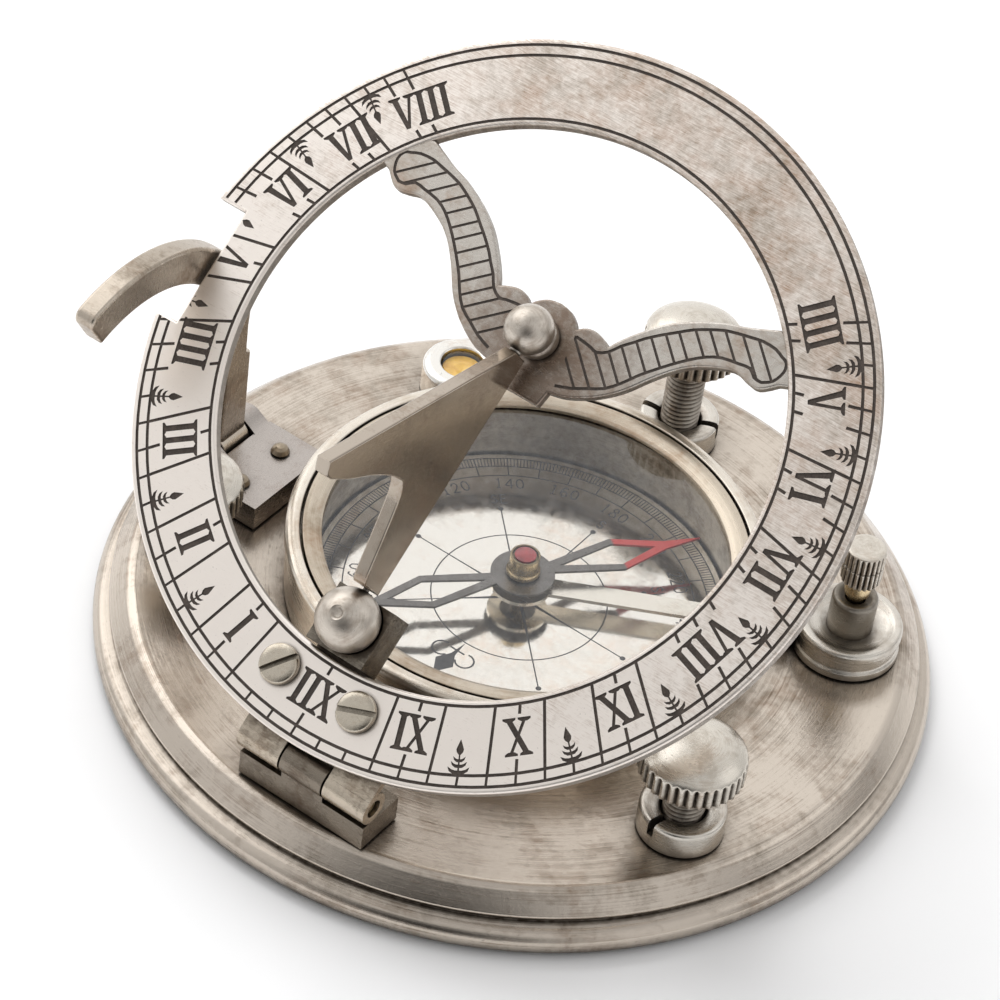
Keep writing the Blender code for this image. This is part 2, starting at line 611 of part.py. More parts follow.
def arc_bracket():
    stand = PLATE_TOP + GAP
    plate = put("arc_bracket", box(BRACKET_X, BRACKET_Y, (stand, BRACKET_TOP)), SILVER)
    near, far = ARC_CENTRE[0] + ARC_INNER, ARC_CENTRE[0] + ARC_OUTER
    first, last = BRACKET_Y
    root = BRACKET_X[0] + 1
    ear = arc((ARC_X, ARC_PIVOT_Z), ARC_KNUCKLE, 50, 270, 16)
    ear += [(root, ARC_PIVOT_Z - ARC_KNUCKLE), (root, BRACKET_TOP - 0.4)]
    for low, high in ((first + 0.4, near - GAP), (far + GAP, last - 0.4)):
        combine(plate, "UNION", prism(ear, low, high, "XZ"))
    combine(plate, "DIFFERENCE",
            rod(1.2, (ARC_X, first - 1, ARC_PIVOT_Z), (ARC_X, last + 1, ARC_PIVOT_Z)))
    for y in RIVETS.values():
        combine(plate, "DIFFERENCE", round_hole(1.1, stand - 1, BRACKET_TOP + 1, RIVET_X, y))

    put("arc_hinge_pin", rod(0.9, (ARC_X, first, ARC_PIVOT_Z), (ARC_X, last, ARC_PIVOT_Z)), BRASS)
    for name, y in RIVETS.items():
        under = PLATE_UNDER - GAP
        seat = BRACKET_TOP + GAP
        put(f"arc_rivet_{name}", turned([
            (0, under - 1), (1.1, under - 1), (1.6, under), (0.8, under), (0.8, seat), (1.4, seat),
            (1.1, seat + 0.6), (0.6, seat + 0.9), (0, seat + 1.0)], 20), BRASS, at=(RIVET_X, y, 0))


def main():
    clear_scene()
    base_plate()
    compass()
    needle()
    needle_arrest()
    for name, screw in LEVELLING.items():
        levelling_screw(name, *screw)
    spirit_level()
    hinge_base()
    axis = empty("ring_hinge_axis", (0, HINGE_Y, HINGE_Z), TILT)
    plane = empty("ring_plane", (0, RING_REACH, RING_RISE), parent=axis)
    hinge_leaf(axis)
    ring_screws(plane)
    hour_ring(plane)
    gnomon_bearings(plane)
    gnomon(plane)
    arc_bracket()
    latitude_arc()


main()
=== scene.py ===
"""Looks of the folding sundial compass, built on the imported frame.

Sizes are in millimetres and meshes are in metres. Bearings are in degrees from +X.
"""

import math

import bmesh
import bpy
from mathutils import Matrix, Vector
from mathutils.geometry import delaunay_2d_cdt


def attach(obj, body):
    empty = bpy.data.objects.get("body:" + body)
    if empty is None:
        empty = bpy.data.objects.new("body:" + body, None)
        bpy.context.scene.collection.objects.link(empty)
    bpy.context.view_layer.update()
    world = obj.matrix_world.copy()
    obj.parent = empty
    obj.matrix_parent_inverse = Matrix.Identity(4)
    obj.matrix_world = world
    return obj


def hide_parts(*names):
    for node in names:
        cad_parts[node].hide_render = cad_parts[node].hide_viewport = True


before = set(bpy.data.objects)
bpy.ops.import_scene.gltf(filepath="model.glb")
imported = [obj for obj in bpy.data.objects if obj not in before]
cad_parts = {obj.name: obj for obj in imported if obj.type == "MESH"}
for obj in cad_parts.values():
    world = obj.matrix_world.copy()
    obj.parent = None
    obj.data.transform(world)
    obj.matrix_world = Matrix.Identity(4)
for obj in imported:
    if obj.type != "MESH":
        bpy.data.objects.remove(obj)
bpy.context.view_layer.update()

MM = 0.001
TILT = 39.1
PLANE = (
    Matrix.Translation((0, -0.052, 0.016))
    @ Matrix.Rotation(math.radians(TILT), 4, "X")
    @ Matrix.Translation((0, 0.0531, 0.0047))
)


# ---------------------------------------------------------------- node materials


def node(tree, kind, inputs=None, **settings):
    made = tree.nodes.new(kind)
    for key, value in settings.items():
        setattr(made, key, value)
    for key, value in (inputs or {}).items():
        if isinstance(value, bpy.types.NodeSocket):
            tree.links.new(value, made.inputs[key])
        else:
            made.inputs[key].default_value = value
    return made


def maths(tree, operation, a, b=0.0, clamp=False):
    return node(tree, "ShaderNodeMath", {0: a, 1: b}, operation=operation, use_clamp=clamp).outputs[0]


def noise(tree, vector, scale, detail=4.0, rough=0.6, distortion=0.0):
    return node(tree, "ShaderNodeTexNoise", {"Vector": vector, "Scale": scale, "Detail": detail,
                                             "Roughness": rough, "Distortion": distortion}).outputs[0]


def spread(tree, value, low, high, out_low=0.0, out_high=1.0):
    return node(tree, "ShaderNodeMapRange", {"Value": value, "From Min": low, "From Max": high,
                                             "To Min": out_low, "To Max": out_high}).outputs[0]


def blend_colour(tree, share, a, b):
    made = node(tree, "ShaderNodeMix", data_type="RGBA")
    for index, value in ((0, share), (6, a), (7, b)):
        if isinstance(value, bpy.types.NodeSocket):
            tree.links.new(value, made.inputs[index])
        else:
            made.inputs[index].default_value = value if index == 0 else (*value, 1.0)
    return made.outputs[2]


def millimetres(tree):
    place = node(tree, "ShaderNodeTexCoord").outputs["Object"]
    return node(tree, "ShaderNodeVectorMath", {0: place, 1: (1000, 1000, 1000)},
                operation="MULTIPLY").outputs[0]


def turned_lines(tree, mm, fine=5.0, around=1.5):
    """Coordinates whose noise runs in rings round the piece's own Z axis."""
    xyz = node(tree, "ShaderNodeSeparateXYZ", {0: mm})
    flat = node(tree, "ShaderNodeVectorMath", {0: mm, 1: (1, 1, 0)}, operation="MULTIPLY")
    radius = node(tree, "ShaderNodeVectorMath", {0: flat.outputs[0]}, operation="LENGTH").outputs["Value"]
    turn = maths(tree, "ARCTAN2", xyz.outputs[1], xyz.outputs[0])
    return node(tree, "ShaderNodeCombineXYZ", {
        0: maths(tree, "MULTIPLY", radius, fine), 1: maths(tree, "MULTIPLY", turn, around),
        2: maths(tree, "MULTIPLY", xyz.outputs[2], fine)}).outputs[0]


def metal(name, light, dark, rough=0.3, tarnish=0.5, lines=None, deep=(0.055, 0.042, 0.03),
          reach=2.2, warm=0.5, spot=None, relief=1.0, fade=None, clouds=1.0, streaks=0.3):
    """Old silver plate: light where it is handled, brown tarnish in clouds, and painted shade with patina
    in corners and hollows.
    fade is a direction, and how much darker and browner the plate grows along it between two places."""
    material = bpy.data.materials.new(name)
    material.use_nodes = True
    tree = material.node_tree
    shader = tree.nodes["Principled BSDF"]
    mm = millimetres(tree)
    if lines == "turned":
        along = turned_lines(tree, mm)
    else:
        stretch = lines or (1.2, 5.0, 5.0)
        along = node(tree, "ShaderNodeVectorMath", {0: mm, 1: stretch}, operation="MULTIPLY").outputs[0]
    fine = noise(tree, along, 1.0, 5.0, 0.7)
    cloud = noise(tree, mm, 0.085, 5.0, 0.55, 0.6)
    mottle = noise(tree, mm, 0.75, 6.0, 0.7, 0.3)
    speck = noise(tree, mm, 3.2, 3.0, 0.6)

    mask = maths(tree, "ADD", spread(tree, cloud, 0.35, 0.68, -0.35 * clouds, 0.75 * clouds),
                 spread(tree, mottle, 0.3, 0.7, -0.35, 0.35))
    mask = maths(tree, "ADD", mask, spread(tree, fine, 0.3, 0.7, -streaks, streaks))
    if fade:
        direction, low, high, more = fade
        across = node(tree, "ShaderNodeVectorMath", {0: mm, 1: direction}, operation="DOT_PRODUCT")
        mask = maths(tree, "ADD", mask, spread(tree, across.outputs["Value"], low, high, -more, more))
    mask = maths(tree, "MULTIPLY", mask, tarnish, clamp=True)
    brown = blend_colour(tree, spread(tree, noise(tree, mm, 0.22, 3.0), 0.4, 0.62),
                         dark, (dark[0] * 1.15, dark[1] * 0.93, dark[2] * (1 - 0.4 * warm)))
    colour = blend_colour(tree, mask, light, brown)
    pits = spread(tree, speck, 0.66, 0.74)
    colour = blend_colour(tree, maths(tree, "MULTIPLY", pits, 0.35), colour, deep)
    # A spot is a painted patch of shade and dark reflection, blended in its tone by distance from its
    # centre.
    if spot:
        centre, size, tone = spot
        away = node(tree, "ShaderNodeVectorMath", {0: mm, 1: centre}, operation="DISTANCE")
        near = maths(tree, "ADD", spread(tree, away.outputs["Value"], size * 0.35, size, 1.0, 0.0),
                     spread(tree, mottle, 0.35, 0.65, -0.25, 0.25), clamp=True)
        colour = blend_colour(tree, maths(tree, "MULTIPLY", near, 0.75), colour, tone)
    # Painted shade with patina: ambient occlusion darkens corners, hollows and the gaps between parts, and
    # the darkness value laid into the mesh darkens them more.
    hidden = node(tree, "ShaderNodeAmbientOcclusion", {"Distance": reach * MM}, samples=4)
    corner = spread(tree, hidden.outputs["AO"], 0.3, 0.9, 1.0, 0.0)
    grime_and_shade = node(tree, "ShaderNodeAttribute", attribute_name="grime_and_shade").outputs["Fac"]
    corner = maths(tree, "MAXIMUM", corner, spread(tree, grime_and_shade, 0.15, 0.9, 0.0, 1.0))
    corner = maths(tree, "MULTIPLY", corner, spread(tree, mottle, 0.25, 0.6, 0.7, 1.0), clamp=True)
    colour = blend_colour(tree, corner, colour, deep)
    tree.links.new(colour, shader.inputs["Base Color"])
    shader.inputs["Metallic"].default_value = 1.0
    shiny = maths(tree, "ADD", spread(tree, fine, 0.25, 0.75, rough - 0.07, rough + 0.07),
                  maths(tree, "MULTIPLY", mask, 0.16))
    shiny = maths(tree, "ADD", shiny, maths(tree, "MULTIPLY", corner, 0.25), clamp=True)
    tree.links.new(shiny, shader.inputs["Roughness"])
    height = maths(tree, "ADD", maths(tree, "MULTIPLY", fine, 0.5),
                   maths(tree, "MULTIPLY", mottle, 0.9))
    height = maths(tree, "SUBTRACT", height, maths(tree, "MULTIPLY", pits, 0.4))
    bump = node(tree, "ShaderNodeBump", {"Height": height, "Strength": 0.5 * relief,
                                         "Distance": 0.00006})
    tree.links.new(bump.outputs[0], shader.inputs["Normal"])
    return material


def dark_fill(name, colour, rough=0.55, metallic=0.3):
    """Patina or ink left in the cut lines."""
    material = bpy.data.materials.new(name)
    material.use_nodes = True
    tree = material.node_tree
    shader = tree.nodes["Principled BSDF"]
    mm = millimetres(tree)
    grain = noise(tree, mm, 4.0, 4.0)
    patch = noise(tree, mm, 0.5, 4.0)
    share = maths(tree, "ADD", spread(tree, grain, 0.35, 0.7, 0.0, 0.6),
                  spread(tree, patch, 0.45, 0.7, 0.0, 0.5), clamp=True)
    lighter = tuple(min(1.0, c * 2.6 + 0.015) for c in colour)
    tree.links.new(blend_colour(tree, share, colour, lighter), shader.inputs["Base Color"])
    tree.links.new(spread(tree, grain, 0.3, 0.7, rough - 0.12, rough + 0.12), shader.inputs["Roughness"])
    shader.inputs["Metallic"].default_value = metallic
    bump = node(tree, "ShaderNodeBump", {"Height": grain, "Strength": 0.4, "Distance": 0.00005})
    tree.links.new(bump.outputs[0], shader.inputs["Normal"])
    return material


def clear(name, tint=(1.0, 1.0, 1.0), smear=0.04):
    """Thin glass: seen through, with a reflection that grows towards the edge of sight."""
    material = bpy.data.materials.new(name)
    material.use_nodes = True
    tree = material.node_tree
    tree.nodes.remove(tree.nodes["Principled BSDF"])
    out = tree.nodes["Material Output"]
    mm = millimetres(tree)
    dust = noise(tree, mm, 0.6, 6.0, 0.7)
    gloss = node(tree, "ShaderNodeBsdfGlossy", {
        "Color": (0.97, 0.98, 1.0, 1.0), "Roughness": spread(tree, dust, 0.4, 0.8, 0.015, 0.09)})
    through = node(tree, "ShaderNodeBsdfTransparent", {"Color": (*tint, 1.0)})
    edge = node(tree, "ShaderNodeFresnel", {"IOR": 1.5})
    share = maths(tree, "ADD", edge.outputs[0], spread(tree, dust, 0.35, 0.75, 0.0, smear), clamp=True)
    inner = node(tree, "ShaderNodeNewGeometry").outputs["Backfacing"]
    share = maths(tree, "MULTIPLY", share, maths(tree, "SUBTRACT", 1.0, inner))
    mix = node(tree, "ShaderNodeMixShader", {0: share, 1: through.outputs[0], 2: gloss.outputs[0]})
    tree.links.new(mix.outputs[0], out.inputs["Surface"])
    return material


def stone(name, deep, pale, rough=0.08, glow=0.0):
    """A wet or polished clear body, such as the level's liquid or the jewel."""
    material = bpy.data.materials.new(name)
    material.use_nodes = True
    tree = material.node_tree
    shader = tree.nodes["Principled BSDF"]
    mm = millimetres(tree)
    cloud = noise(tree, mm, 0.5, 4.0)
    tree.links.new(blend_colour(tree, spread(tree, cloud, 0.35, 0.65), deep, pale),
                   shader.inputs["Base Color"])
    tree.links.new(spread(tree, noise(tree, mm, 2.5), 0.3, 0.7, rough * 0.6, rough * 1.5),
                   shader.inputs["Roughness"])
    shader.inputs["Coat Weight"].default_value = 0.6
    shader.inputs["Coat Roughness"].default_value = 0.04
    bump = node(tree, "ShaderNodeBump", {"Height": cloud, "Strength": 0.15, "Distance": 0.0002})
    tree.links.new(bump.outputs[0], shader.inputs["Normal"])
    return material


RING_LIGHT = (0.91, 0.84, 0.775)
RING_DARK = (0.34, 0.27, 0.205)
BASE_LIGHT = (0.60, 0.53, 0.455)
BASE_DARK = (0.19, 0.15, 0.11)

M = {
    # The ring is darker and browner towards its far side.
    "ring": metal("ring_silver", RING_LIGHT, RING_DARK, 0.33, 0.72, (0.4, 6.0, 3.0), reach=0.5,
                  fade=((0.4, 0.92, 0), -50, 50, 0.7), clouds=0.5, streaks=0.5),
    # The arms' spot is painted shade and dark reflection round the gnomon post ball.
    "arms": metal("arm_silver", (0.58, 0.54, 0.49), RING_DARK, 0.28, 0.7, (0.6, 5.0, 3.0), reach=0.8,
                  spot=((1.5, 7.5, 0), 17.0, (0.17, 0.11, 0.075))),
    "cut": dark_fill("cut_patina", (0.040, 0.030, 0.024)),
    # The long reach paints shade onto the base next to the parts that stand on it.
    "base": metal("base_silver", BASE_LIGHT, BASE_DARK, 0.19, 0.75, "turned", reach=6.0, streaks=0.55),
    "case": metal("case_silver", (0.73, 0.67, 0.585), (0.40, 0.33, 0.24), 0.28, 0.7, "turned", reach=1.2),
    "case_inner": metal("retaining_silver", (0.55, 0.48, 0.39), (0.28, 0.21, 0.14), 0.29, 0.8,
                        "turned", reach=0.8),
    "turned": metal("turned_silver", (0.64, 0.60, 0.54), (0.28, 0.23, 0.175), 0.27, 0.65, "turned",
                    reach=1.6),
    "head": metal("head_silver", (0.66, 0.615, 0.545), (0.31, 0.255, 0.195), 0.26, 0.75, "turned",
                  reach=0.9),
    "thread": metal("thread_silver", (0.42, 0.38, 0.33), (0.16, 0.13, 0.10), 0.32, 0.9, "turned",
                    reach=1.0),
    "dark": metal("dark_bronze", (0.26, 0.235, 0.20), (0.09, 0.07, 0.055), 0.3, 0.8, "turned",
                  reach=1.5),
    "brass": metal("old_brass", (0.72, 0.58, 0.36), (0.40, 0.29, 0.15), 0.26, 0.6, (3, 3, 3),
                   reach=0.8),
    "rivet": metal("rivet_brown", (0.33, 0.27, 0.20), (0.13, 0.10, 0.07), 0.34, 0.9, "turned",
                   reach=0.9),
    "hinge": metal("hinge_silver", (0.24, 0.205, 0.165), (0.08, 0.065, 0.05), 0.24, 0.9, (1.2, 5, 5),
                   reach=2.2),
    # The leaf's spot is painted dark reflection and shade round the pivot ball.
    "leaf": metal("leaf_silver", (0.54, 0.47, 0.38), (0.19, 0.15, 0.11), 0.2, 0.9, (1.2, 5, 5),
                  reach=2.2, spot=(tuple(c / MM for c in PLANE @ Vector((0, -0.033, 0.0))), 22.0,
                                   (0.05, 0.045, 0.04))),
    "gnomon": metal("gnomon_silver", (0.46, 0.40, 0.335), (0.24, 0.185, 0.135), 0.12, 0.7,
                    (2.0, 2.0, 2.0), reach=0.8, relief=0.35),
    "ball": metal("ball_silver", (0.60, 0.545, 0.48), (0.24, 0.195, 0.15), 0.31, 0.8, "turned",
                  reach=1.6, relief=1.0),
    "arc": metal("arc_silver", (0.56, 0.49, 0.41), (0.25, 0.20, 0.15), 0.27, 0.9, (1.0, 5.0, 1.0),
                 reach=1.0),
    "ring_screw": metal("ring_screw_brass", (0.55, 0.495, 0.41), (0.30, 0.24, 0.17), 0.22, 0.6,
                        (3.0, 3.0, 3.0), reach=0.9),
    "bracket": metal("bracket_silver", (0.43, 0.39, 0.36), (0.23, 0.195, 0.175), 0.26, 0.7,
                     (5.0, 1.0, 5.0), reach=1.5),
    "level": metal("level_silver", (0.80, 0.775, 0.73), (0.50, 0.44, 0.36), 0.19, 0.5, "turned",
                   reach=0.8, relief=0.5),
    "card": metal("card_silvered", (0.77, 0.735, 0.675), (0.62, 0.57, 0.49), 0.10, 0.5, (0.8, 0.8, 0.8),
                  deep=(0.5, 0.45, 0.38), reach=0.3, relief=0.12),
    "ink": dark_fill("card_ink", (0.025, 0.024, 0.024), 0.45, 0.0),
    "lever": metal("lever_silver", (0.72, 0.68, 0.60), (0.44, 0.37, 0.28), 0.22, 0.5, (1, 4, 4),
                   reach=0.8, relief=0.5),
    "glass": clear("clear_glass"),
    "window": clear("level_glass", (1.0, 0.98, 0.93), 0.02),
    "liquid": stone("amber_liquid", (0.62, 0.34, 0.03), (0.86, 0.58, 0.12)),
    "jewel": stone("red_jewel", (0.18, 0.004, 0.008), (0.38, 0.015, 0.02), 0.08),
}


def needle_steel():
    """Blackened steel whose outer end is red."""
    material = metal("needle_steel", (0.16, 0.15, 0.14), (0.07, 0.065, 0.06), 0.3, 0.6, (4, 4, 4),
                     reach=0.5)
    tree = material.node_tree
    shader = tree.nodes["Principled BSDF"]
    steel = shader.inputs["Base Color"].links[0].from_socket
    along = node(tree, "ShaderNodeSeparateXYZ", {0: millimetres(tree)}).outputs[0]
    red = spread(tree, along, 14.6, 15.0)
    tree.links.new(blend_colour(tree, red, steel, (0.46, 0.035, 0.03)), shader.inputs["Base Color"])
    tree.links.new(spread(tree, red, 0, 1, 0.9, 0.0), shader.inputs["Metallic"])
    return material


M["needle"] = needle_steel()


# ---------------------------------------------------------------- shapes


def polar(radius, degrees):
    angle = math.radians(degrees)
    return radius * math.cos(angle), radius * math.sin(angle)


def circle(radius, steps, centre=(0, 0)):
    return [(centre[0] + x, centre[1] + y)
            for x, y in (polar(radius, 360 * k / steps) for k in range(steps))]


def arc(centre, radius, start, end, steps):
    return [(centre[0] + x, centre[1] + y)
            for x, y in (polar(radius, start + (end - start) * k / steps) for k in range(steps + 1))]


def smooth_line(points, steps):
    """A Catmull-Rom curve through the points."""
    ends = [points[0]] + list(points) + [points[-1]]
    line = []
    for k in range(len(points) - 1):
        a, b, c, d = (Vector(p) for p in ends[k:k + 4])
        for s in range(steps):
            t = s / steps
            line.append(0.5 * (2 * b + (c - a) * t + (2 * a - 5 * b + 4 * c - d) * t**2
                               + (3 * b - a - 3 * c + d) * t**3))
    line.append(Vector(points[-1]))
    return [(p.x, p.y) for p in line]


def area(outline):
    return sum(a[0] * b[1] - b[0] * a[1] for a, b in zip(outline, outline[1:] + outline[:1])) / 2


def inset(outline, depth):
    """The outline moved towards its inside (or away from it, below 0), corners mitred."""
    sign = 1 if area(outline) > 0 else -1
    moved = []
    count = len(outline)
    for k in range(count):
        before = Vector(outline[k]) - Vector(outline[k - 1])
        after = Vector(outline[(k + 1) % count]) - Vector(outline[k])
        before.normalize()
        after.normalize()
        left = Vector((-before.y, before.x)) * sign
        right = Vector((-after.y, after.x)) * sign
        side = left + right
        side = side / max(side.dot(left), 0.35) if side.length > 1e-6 else left
        moved.append(tuple(Vector(outline[k]) + side * depth))
    return moved


def stroke(points, width):
    """Quads of a line of even width, one to each step, overlapping a little at the joints."""
    quads = []
    for a, b in zip(points, points[1:]):
        a, b = Vector(a), Vector(b)
        step = (b - a).normalized()
        side = Vector((-step.y, step.x)) * width / 2
        a, b = a - step * width * 0.12, b + step * width * 0.12
        quads.append([tuple(a - side), tuple(b - side), tuple(b + side), tuple(a + side)])
    return quads


def facets(outlines, holes, marks, only_in=()):
    """Splits flat outlines into triangles: yields points, and triangles with True where a mark is."""
    points, loops = [], []
    for loop in [*outlines, *holes, *only_in, *marks]:
        loop = list(loop) if area(list(loop)) > 0 else list(reversed(loop))
        loops.append(list(range(len(points), len(points) + len(loop))))
        points += [Vector(p) for p in loop]
    found = delaunay_2d_cdt(points, [], loops, 0, 1e-5)
    a = len(outlines)
    b = a + len(holes)
    c = b + len(only_in)
    triangles = []
    for face, owners in zip(found[2], found[5]):
        if not any(k < a for k in owners) or any(a <= k < b for k in owners):
            continue
        marked = any(k >= c for k in owners)
        if only_in and not any(b <= k < c for k in owners):
            marked = False
        triangles.append((face, marked))
    return found[0], triangles


def slab(outline, low, high, holes=(), marks=(), depth=0.12, soft=0.3, soft_low=None, only_in=(),
         plane="XY", wall=0.0):
    """A plate with rounded edges, its side wall darkened. Marks are sunk into its top and take the
    second material."""
    bm = bmesh.new()
    grime_and_shade_layer = bm.verts.layers.float.new("grime_and_shade")
    soft_low = soft if soft_low is None else soft_low

    def place(p, z):
        spot = {"XY": (p[0], p[1], z), "YZ": (z, p[0], p[1]), "XZ": (p[0], -z, p[1])}[plane]
        vert = bm.verts.new(Vector(spot) * MM)
        if low + soft_low - 1e-4 < z < high - soft + 1e-4:
            vert[grime_and_shade_layer] = wall
        return vert

    levels = [(0.0, high - soft), (0.0, low + soft_low)]
    bend = [(1 - math.sin(a), 1 - math.cos(a)) for a in (0, 0.26, 0.52, 0.79, 1.05, 1.31)]
    levels = [(soft * i, high - soft * d) for i, d in bend] + levels
    levels += [(soft_low * i, low + soft_low * d) for i, d in reversed(bend)]
    loops = [(outline, 1)] + [(hole, -1) for hole in holes]
    for loop, sense in loops:
        rows = []
        for depth_in, z in levels:
            rows.append([place(p, z) for p in inset(loop, sense * depth_in)])
        for upper, lower in zip(rows, rows[1:]):
            for k in range(len(loop)):
                n = (k + 1) % len(loop)
                bm.faces.new([upper[k], upper[n], lower[n], lower[k]])
    for level, edge, cuts in ((high, soft, marks), (low, soft_low, [])):
        points, triangles = facets([inset(outline, edge)], [inset(h, -edge) for h in holes], cuts,
                                   only_in if cuts else ())
        flat, sunk, sides = {}, {}, {}
        for face, marked in triangles:
            table = sunk if marked else flat
            drop = depth if marked else 0.0
            for v in face:
                if v not in table:
                    table[v] = place(points[v], level - drop)
            made = bm.faces.new([table[v] for v in face])
            made.material_index = 1 if marked else 0
            for k in range(3):
                pair = (face[k], face[(k + 1) % 3])
                sides.setdefault(frozenset(pair), []).append(marked)
        for pair, kinds in sides.items():
            if len(kinds) == 2 and kinds[0] != kinds[1]:
                a, b = pair
                wall = bm.faces.new([flat[a], flat[b], sunk[b], sunk[a]])
                wall.material_index = 1
    bmesh.ops.remove_doubles(bm, verts=bm.verts, dist=1e-7)
    bmesh.ops.recalc_face_normals(bm, faces=bm.faces)
    return bm


def softened(profile, steps=4):
    """Rounds the corners of a (radius, height, fillet) profile."""
    line = []
    for k, (radius, height, *rest) in enumerate(profile):
        fillet = rest[0] if rest else 0.0
        here = Vector((radius, height))
        if fillet <= 0 or k in (0, len(profile) - 1):
            line.append(here)
            continue
        back = Vector(profile[k - 1][:2]) - here
        ahead = Vector(profile[k + 1][:2]) - here
        a = here + back.normalized() * min(fillet, back.length * 0.49)
        b = here + ahead.normalized() * min(fillet, ahead.length * 0.49)
        for s in range(steps + 1):
            t = s / steps
            line.append(a * (1 - t) ** 2 + here * 2 * t * (1 - t) + b * t**2)
    return line


def lathe(profile, steps=128, wave=None, soil_and_shade=None):
    """An open (radius, height, fillet) profile turned about Z. wave(angle, radius, height) is cut off,
    and soil(radius, height) is how dark the surface is painted, for patina and shade in hollows."""
    bm = bmesh.new()
    grime_and_shade_layer = bm.verts.layers.float.new("grime_and_shade")
    rows = []
    for point in softened(profile):
        radius, height = point
        if radius < 1e-6:
            rows.append([bm.verts.new((0, 0, height * MM))] * steps)
            continue
        row = []
        for k in range(steps):
            angle = math.tau * k / steps
            cut = wave(angle, radius, height) if wave else 0.0
            x, y = polar(radius - cut, math.degrees(angle))
            vert = bm.verts.new((x * MM, y * MM, height * MM))
            # Painted shade with patina: the flute hollows are darker, and so is whatever soil marks.
            vert[grime_and_shade_layer] = max(min(1.0, cut * 4), soil_and_shade(radius, height) if soil_and_shade else 0.0)
            row.append(vert)
        rows.append(row)
    for a, b in zip(rows, rows[1:]):
        for k in range(steps):
            n = (k + 1) % steps
            corners = list(dict.fromkeys([a[k], a[n], b[n], b[k]]))
            if len(corners) > 2:
                bm.faces.new(corners)
    bmesh.ops.recalc_face_normals(bm, faces=bm.faces)
    return bm


def threaded(radius, low, high, pitch, cut, steps=36, rows=8):
    """A rod with a helical thread."""
    bm = bmesh.new()
    grime_and_shade_layer = bm.verts.layers.float.new("grime_and_shade")
    count = int((high - low) / pitch * rows)
    grid = []
    for j in range(count + 1):
        z = low + (high - low) * j / count
        row = []
        for k in range(steps):
            turn = k / steps
            phase = (z / pitch - turn) % 1.0
            real = radius - cut * abs(2 * phase - 1) ** 1.3
            if j in (0, count):
                real = radius - cut
            x, y = polar(real, 360 * turn)
            vert = bm.verts.new((x * MM, y * MM, z * MM))
            # Painted shade with patina: the thread's roots are darker.
            vert[grime_and_shade_layer] = (radius - real) / cut
            row.append(vert)
        grid.append(row)
    for a, b in zip(grid, grid[1:]):
        for k in range(steps):
            n = (k + 1) % steps
            bm.faces.new([a[k], a[n], b[n], b[k]])
    bm.faces.new(grid[0])
    bm.faces.new(grid[-1])
    bmesh.ops.recalc_face_normals(bm, faces=bm.faces)
    return bm


def join(*parts):
    """One mesh out of several."""
    whole = bmesh.new()
    for part in parts:
        mesh = bpy.data.meshes.new("part")
        part.to_mesh(mesh)
        part.free()
        whole.from_mesh(mesh)
        bpy.data.meshes.remove(mesh)
    return whole


def moved(bm, matrix):
    bmesh.ops.transform(bm, matrix=matrix, verts=bm.verts)
    return bm


def piece(name, bm, materials, body, place=None, stands_for=(), sharp=32):
    mesh = bpy.data.meshes.new(name)
    bm.to_mesh(mesh)
    bm.free()
    for key in [materials] if isinstance(materials, str) else materials:
        mesh.materials.append(M[key])
    mesh.shade_smooth()
    mesh.set_sharp_from_angle(angle=math.radians(sharp))
    obj = bpy.data.objects.new(name, mesh)
    bpy.context.scene.collection.objects.link(obj)
    obj.modifiers.new("normals", "WEIGHTED_NORMAL").keep_sharp = True
    if place is not None:
        obj.matrix_world = place
    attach(obj, body)
    if stands_for:
        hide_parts(*stands_for)
    return obj


def at(x=0.0, y=0.0, z=0.0, turn=0.0):
    return Matrix.Translation(Vector((x, y, z)) * MM) @ Matrix.Rotation(math.radians(turn), 4, "Z")


def dress(nodes, key, edge=0.0):
    """Gives carried-over CAD nodes a finish, and rounds their edges."""
    for name in nodes:
        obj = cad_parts[name]
        obj.data.materials.clear()
        obj.data.materials.append(M[key])
        if edge:
            weld = obj.modifiers.new("weld", "WELD")
            weld.merge_threshold = 2e-6
            bevel = obj.modifiers.new("edge", "BEVEL")
            bevel.width = edge * MM
            bevel.segments = 2
            bevel.limit_method = "ANGLE"
            bevel.angle_limit = math.radians(40)
            bevel.harden_normals = False
            obj.modifiers.new("normals", "WEIGHTED_NORMAL")


# ---------------------------------------------------------------- hour ring engraving


def dial(radius, degrees):
    """A point on the dial, measured from XII at the hinge towards the afternoon side."""
    angle = math.radians(degrees)
    return -radius * math.sin(angle), -radius * math.cos(angle)


def hour_angle(degrees, pull):
    return degrees + math.degrees(math.asin(pull * math.sin(math.radians(degrees))))


OUTER_LINE = 50.7
BAND_LINE = 49.2
INNER_LINE = 40.15
LINE = 0.42
FINE_LINE = 0.36


def hour_line(degrees, near, far):
    """A point pair on the line for an hour angle, between two radii of the dial."""
    first = Vector(dial(INNER_LINE, hour_angle(degrees, 0.291)))
    last = Vector(dial(OUTER_LINE, hour_angle(degrees, 0.23)))
    span = OUTER_LINE - INNER_LINE
    return [tuple(first.lerp(last, (r - INNER_LINE) / span)) for r in (near, far)]


def ring_circle(radius, width):
    steps = 144
    inner, outer = circle(radius - width / 2, steps), circle(radius + width / 2, steps)
    return [[inner[k], outer[k], outer[(k + 1) % steps], inner[(k + 1) % steps]] for k in range(steps)]


def serif(x, top):
    """The flat end of a numeral's stem; top is 1 at the head and 0 at the foot."""
    shape = [(-0.9, 5.06), (-0.88, 4.78), (-0.42, 4.5), (0.42, 4.5), (0.88, 4.78), (0.9, 5.06)]
    return [(x + a, b if top else 5.0 - b) for a, b in shape]


